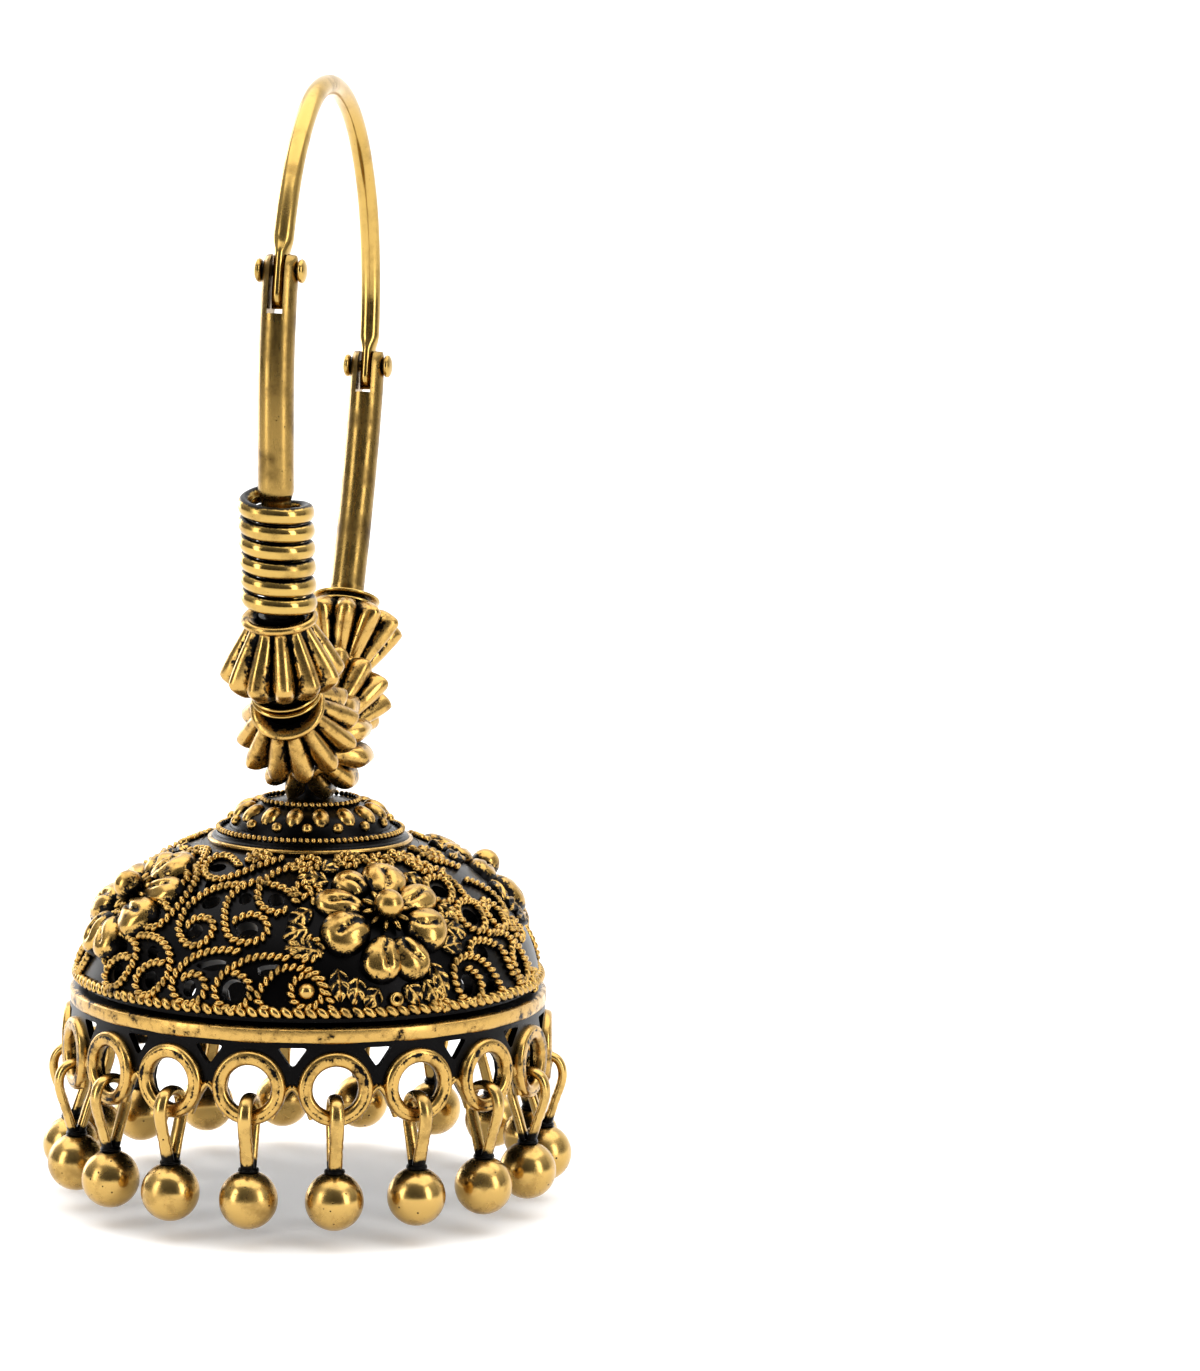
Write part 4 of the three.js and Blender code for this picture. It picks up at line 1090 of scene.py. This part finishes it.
def friezeJoint(pile, look, turn):
    # gold edge under the place where two rings meet, like a small inverted V
    axes = friezeAxes(turn + 180 / look["count"])
    half = math.pi * look["circle"] / look["count"]
    for side in (-1, 1):
        path = []
        for u in np.linspace(0, 1, 8):
            x = side * (half - look["jointGap"]) * u ** 0.9
            y = look["height"] + 0.12 - look["jointFall"] * u ** 1.35
            path.append(axes[2] * (look["circle"] - 0.15 * u) + axes[0] * x + np.array([0, 0, y]))
        sweep(pile, path, axes[2], 0.2, 0.3, 8)


friezePile, ringPile = Pile(), Pile()
for i in range(friezeLook["count"]):
    turn = i * 360 / friezeLook["count"]
    friezeWeb(friezePile, friezeLook, turn)
    friezeRing(ringPile, friezeLook, turn)
    friezeJoint(ringPile, friezeLook, turn)
makePiece("frieze_web", friezePile, castBrass, "bell_drop", sharp=40)
makePiece("frieze_rings", ringPile, castBrass, "bell_drop", sharp=80)
print("frieze made")

# Ball drops
dropLook = {
    "halfWidth": 1.14, "top": -20.28, "bottom": -24.7, "halfAcross": 0.44, "halfDeep": 0.3,
    "ballRadius": 1.8, "ballHeight": -26.57, "fileMarks": (0.14, 0.2),
}


def dropPiece(number, look):
    east, up, out = friezeAxes(360 / friezeLook["count"] * (number - 1))
    origin = out * friezeLook["circle"]
    half, top, bottom = look["halfWidth"], look["top"], look["bottom"]
    plan = [(0.22, bottom), (0.62, bottom + 1.3), (half, top - 1.25), (half * 0.72, top - 0.3), (0, top),
            (-half * 0.72, top - 0.3), (-half, top - 1.25), (-0.62, bottom + 1.3), (-0.22, bottom)]
    line = spaced(smoothLine(plan, 12), 0.2)
    path = origin + line[:, :1] * out + line[:, 1:] * up
    notch = np.ones(len(path))
    for at in look["fileMarks"]:  # fine, across the front leg
        notch[int(at * len(path))] = 0.93
    pile = Pile()
    wear = np.repeat(np.clip((line[:, 1] - bottom) / 0.9, 0.1, 1), 14)
    sweep(pile, path, east, look["halfDeep"] * notch, look["halfAcross"] * notch, 14, wear)
    r, h = look["ballRadius"], look["ballHeight"]
    profile = [(max(r * math.sin(a), 0.01), h + r * math.cos(a))
               for a in np.linspace(math.pi, math.asin(0.5 / r), 26)]
    # the black solder collar on top of the ball
    profile += [(0.6, h + 1.72), (0.66, h + 1.8), (0.62, h + 1.94), (0.46, h + 2), (0.01, h + 2)]
    ballWear = [1.0] * 24 + [0.7, 0.05, 0.05, 0.2, 0.1, 0, 0]
    loft(pile, turnedRings(profile, 36) + origin, np.repeat(ballWear, 36))
    return makePiece(f"ball_drop_{number:02d}_burnished", pile, burnishedBall, "bell_drop",
                     [f"ball_drop_{number:02d}"], sharp=60)


for number in range(1, friezeLook["count"] + 1):
    dropPiece(number, dropLook)
print("ball drops made")

# Stage and light
stageLook = {
    "floor": -69.0, "colour": "#F6F6F6", "glow": 0.22, "halfWidth": 900, "front": -900, "back": 260,
    "bend": 160, "wall": 700}


def paleStage(look):
    profile = [(look["front"], 0), (look["back"], 0)]
    profile += [(look["back"] + look["bend"] * math.sin(t), look["bend"] * (1 - math.cos(t)))
                for t in np.linspace(0.15, math.pi / 2, 12)]
    profile.append((look["back"] + look["bend"], look["wall"]))
    points = [(x * look["halfWidth"] * millimetre, y * millimetre, (z + look["floor"]) * millimetre)
              for y, z in profile for x in (-1, 1)]
    faces = [(2 * i, 2 * i + 1, 2 * i + 3, 2 * i + 2) for i in range(len(profile) - 1)]
    mesh = bpy.data.meshes.new("pale_stage")
    mesh.from_pydata(points, [], faces)
    mesh.shade_smooth()
    paper = bpy.data.materials.new("matt_white_paper")
    paper.use_nodes = True
    shader = paper.node_tree.nodes["Principled BSDF"]
    shader.inputs["Base Color"].default_value = linear(look["colour"])
    shader.inputs["Roughness"].default_value = 0.9
    shader.inputs["Emission Color"].default_value = linear(look["colour"])
    shader.inputs["Emission Strength"].default_value = look["glow"]  # lit a little from below
    mesh.materials.append(paper)
    stage = bpy.data.objects.new("pale_stage", mesh)
    bpy.context.scene.collection.objects.link(stage)


paleStage(stageLook)

# place, size and power of each soft box, in metres and watts; all face the bell
softBoxes = [
    {"name": "top_box", "at": (0.0, 0.1, 0.5), "size": (1.1, 0.9), "power": 6.2},
    {"name": "left_box", "at": (-0.33, -0.3, 0.06), "size": (0.14, 0.42), "power": 1.0},
    {"name": "right_box", "at": (0.41, -0.2, 0.06), "size": (0.14, 0.42), "power": 1.0},
    {"name": "back_left_box", "at": (-0.4, 0.3, 0.05), "size": (0.2, 0.4), "power": 1.2},
]


def addSoftBox(look):
    data = bpy.data.lights.new(look["name"], "AREA")
    data.shape = "RECTANGLE"
    data.size, data.size_y = look["size"]
    data.energy = look["power"]
    light = bpy.data.objects.new(look["name"], data)
    light.location = look["at"]
    aim = Vector((0, 0, -0.04)) - Vector(look["at"])
    light.rotation_euler = aim.to_track_quat("-Z", "Y").to_euler()
    bpy.context.scene.collection.objects.link(light)


for box in softBoxes:
    addSoftBox(box)


# how strong the world is, from low to high and from the front of the scene to its back
worldLook = {"rise": (-0.1, 0.85), "low": 0.2, "high": 0.9, "depth": (-0.75, 0.4), "front": 0.2, "back": 1.0}


def studioWorld(look):
    world = bpy.data.worlds.new("studio")
    bpy.context.scene.world = world
    world.use_nodes = True
    tree = world.node_tree
    where = addNode(tree, "ShaderNodeTexCoord").outputs["Generated"]
    parts = addNode(tree, "ShaderNodeSeparateXYZ", {}, {0: where})
    upward = stepBetween(tree, parts.outputs["Z"], *look["rise"], (look["low"], look["high"]))
    backward = stepBetween(tree, parts.outputs["Y"], *look["depth"], (look["front"], look["back"]))
    strength = addNode(tree, "ShaderNodeMath", {"operation": "MULTIPLY"}, {0: upward, 1: backward})
    # seen directly, from any side, the studio is plain and pale; metal reflects the darker one
    seen = addNode(tree, "ShaderNodeLightPath").outputs["Is Camera Ray"]
    pale = addNode(tree, "ShaderNodeMix", {"data_type": "FLOAT", 3: 1.0}, {0: seen, 2: strength.outputs[0]})
    tree.links.new(pale.outputs[0], tree.nodes["Background"].inputs["Strength"])
    tree.nodes["Background"].inputs["Color"].default_value = linear("#FFFFFF")


studioWorld(worldLook)
view = bpy.context.scene.view_settings
view.view_transform = "Standard"
view.look = "None"
view.exposure = 0.0
print("stage lit")
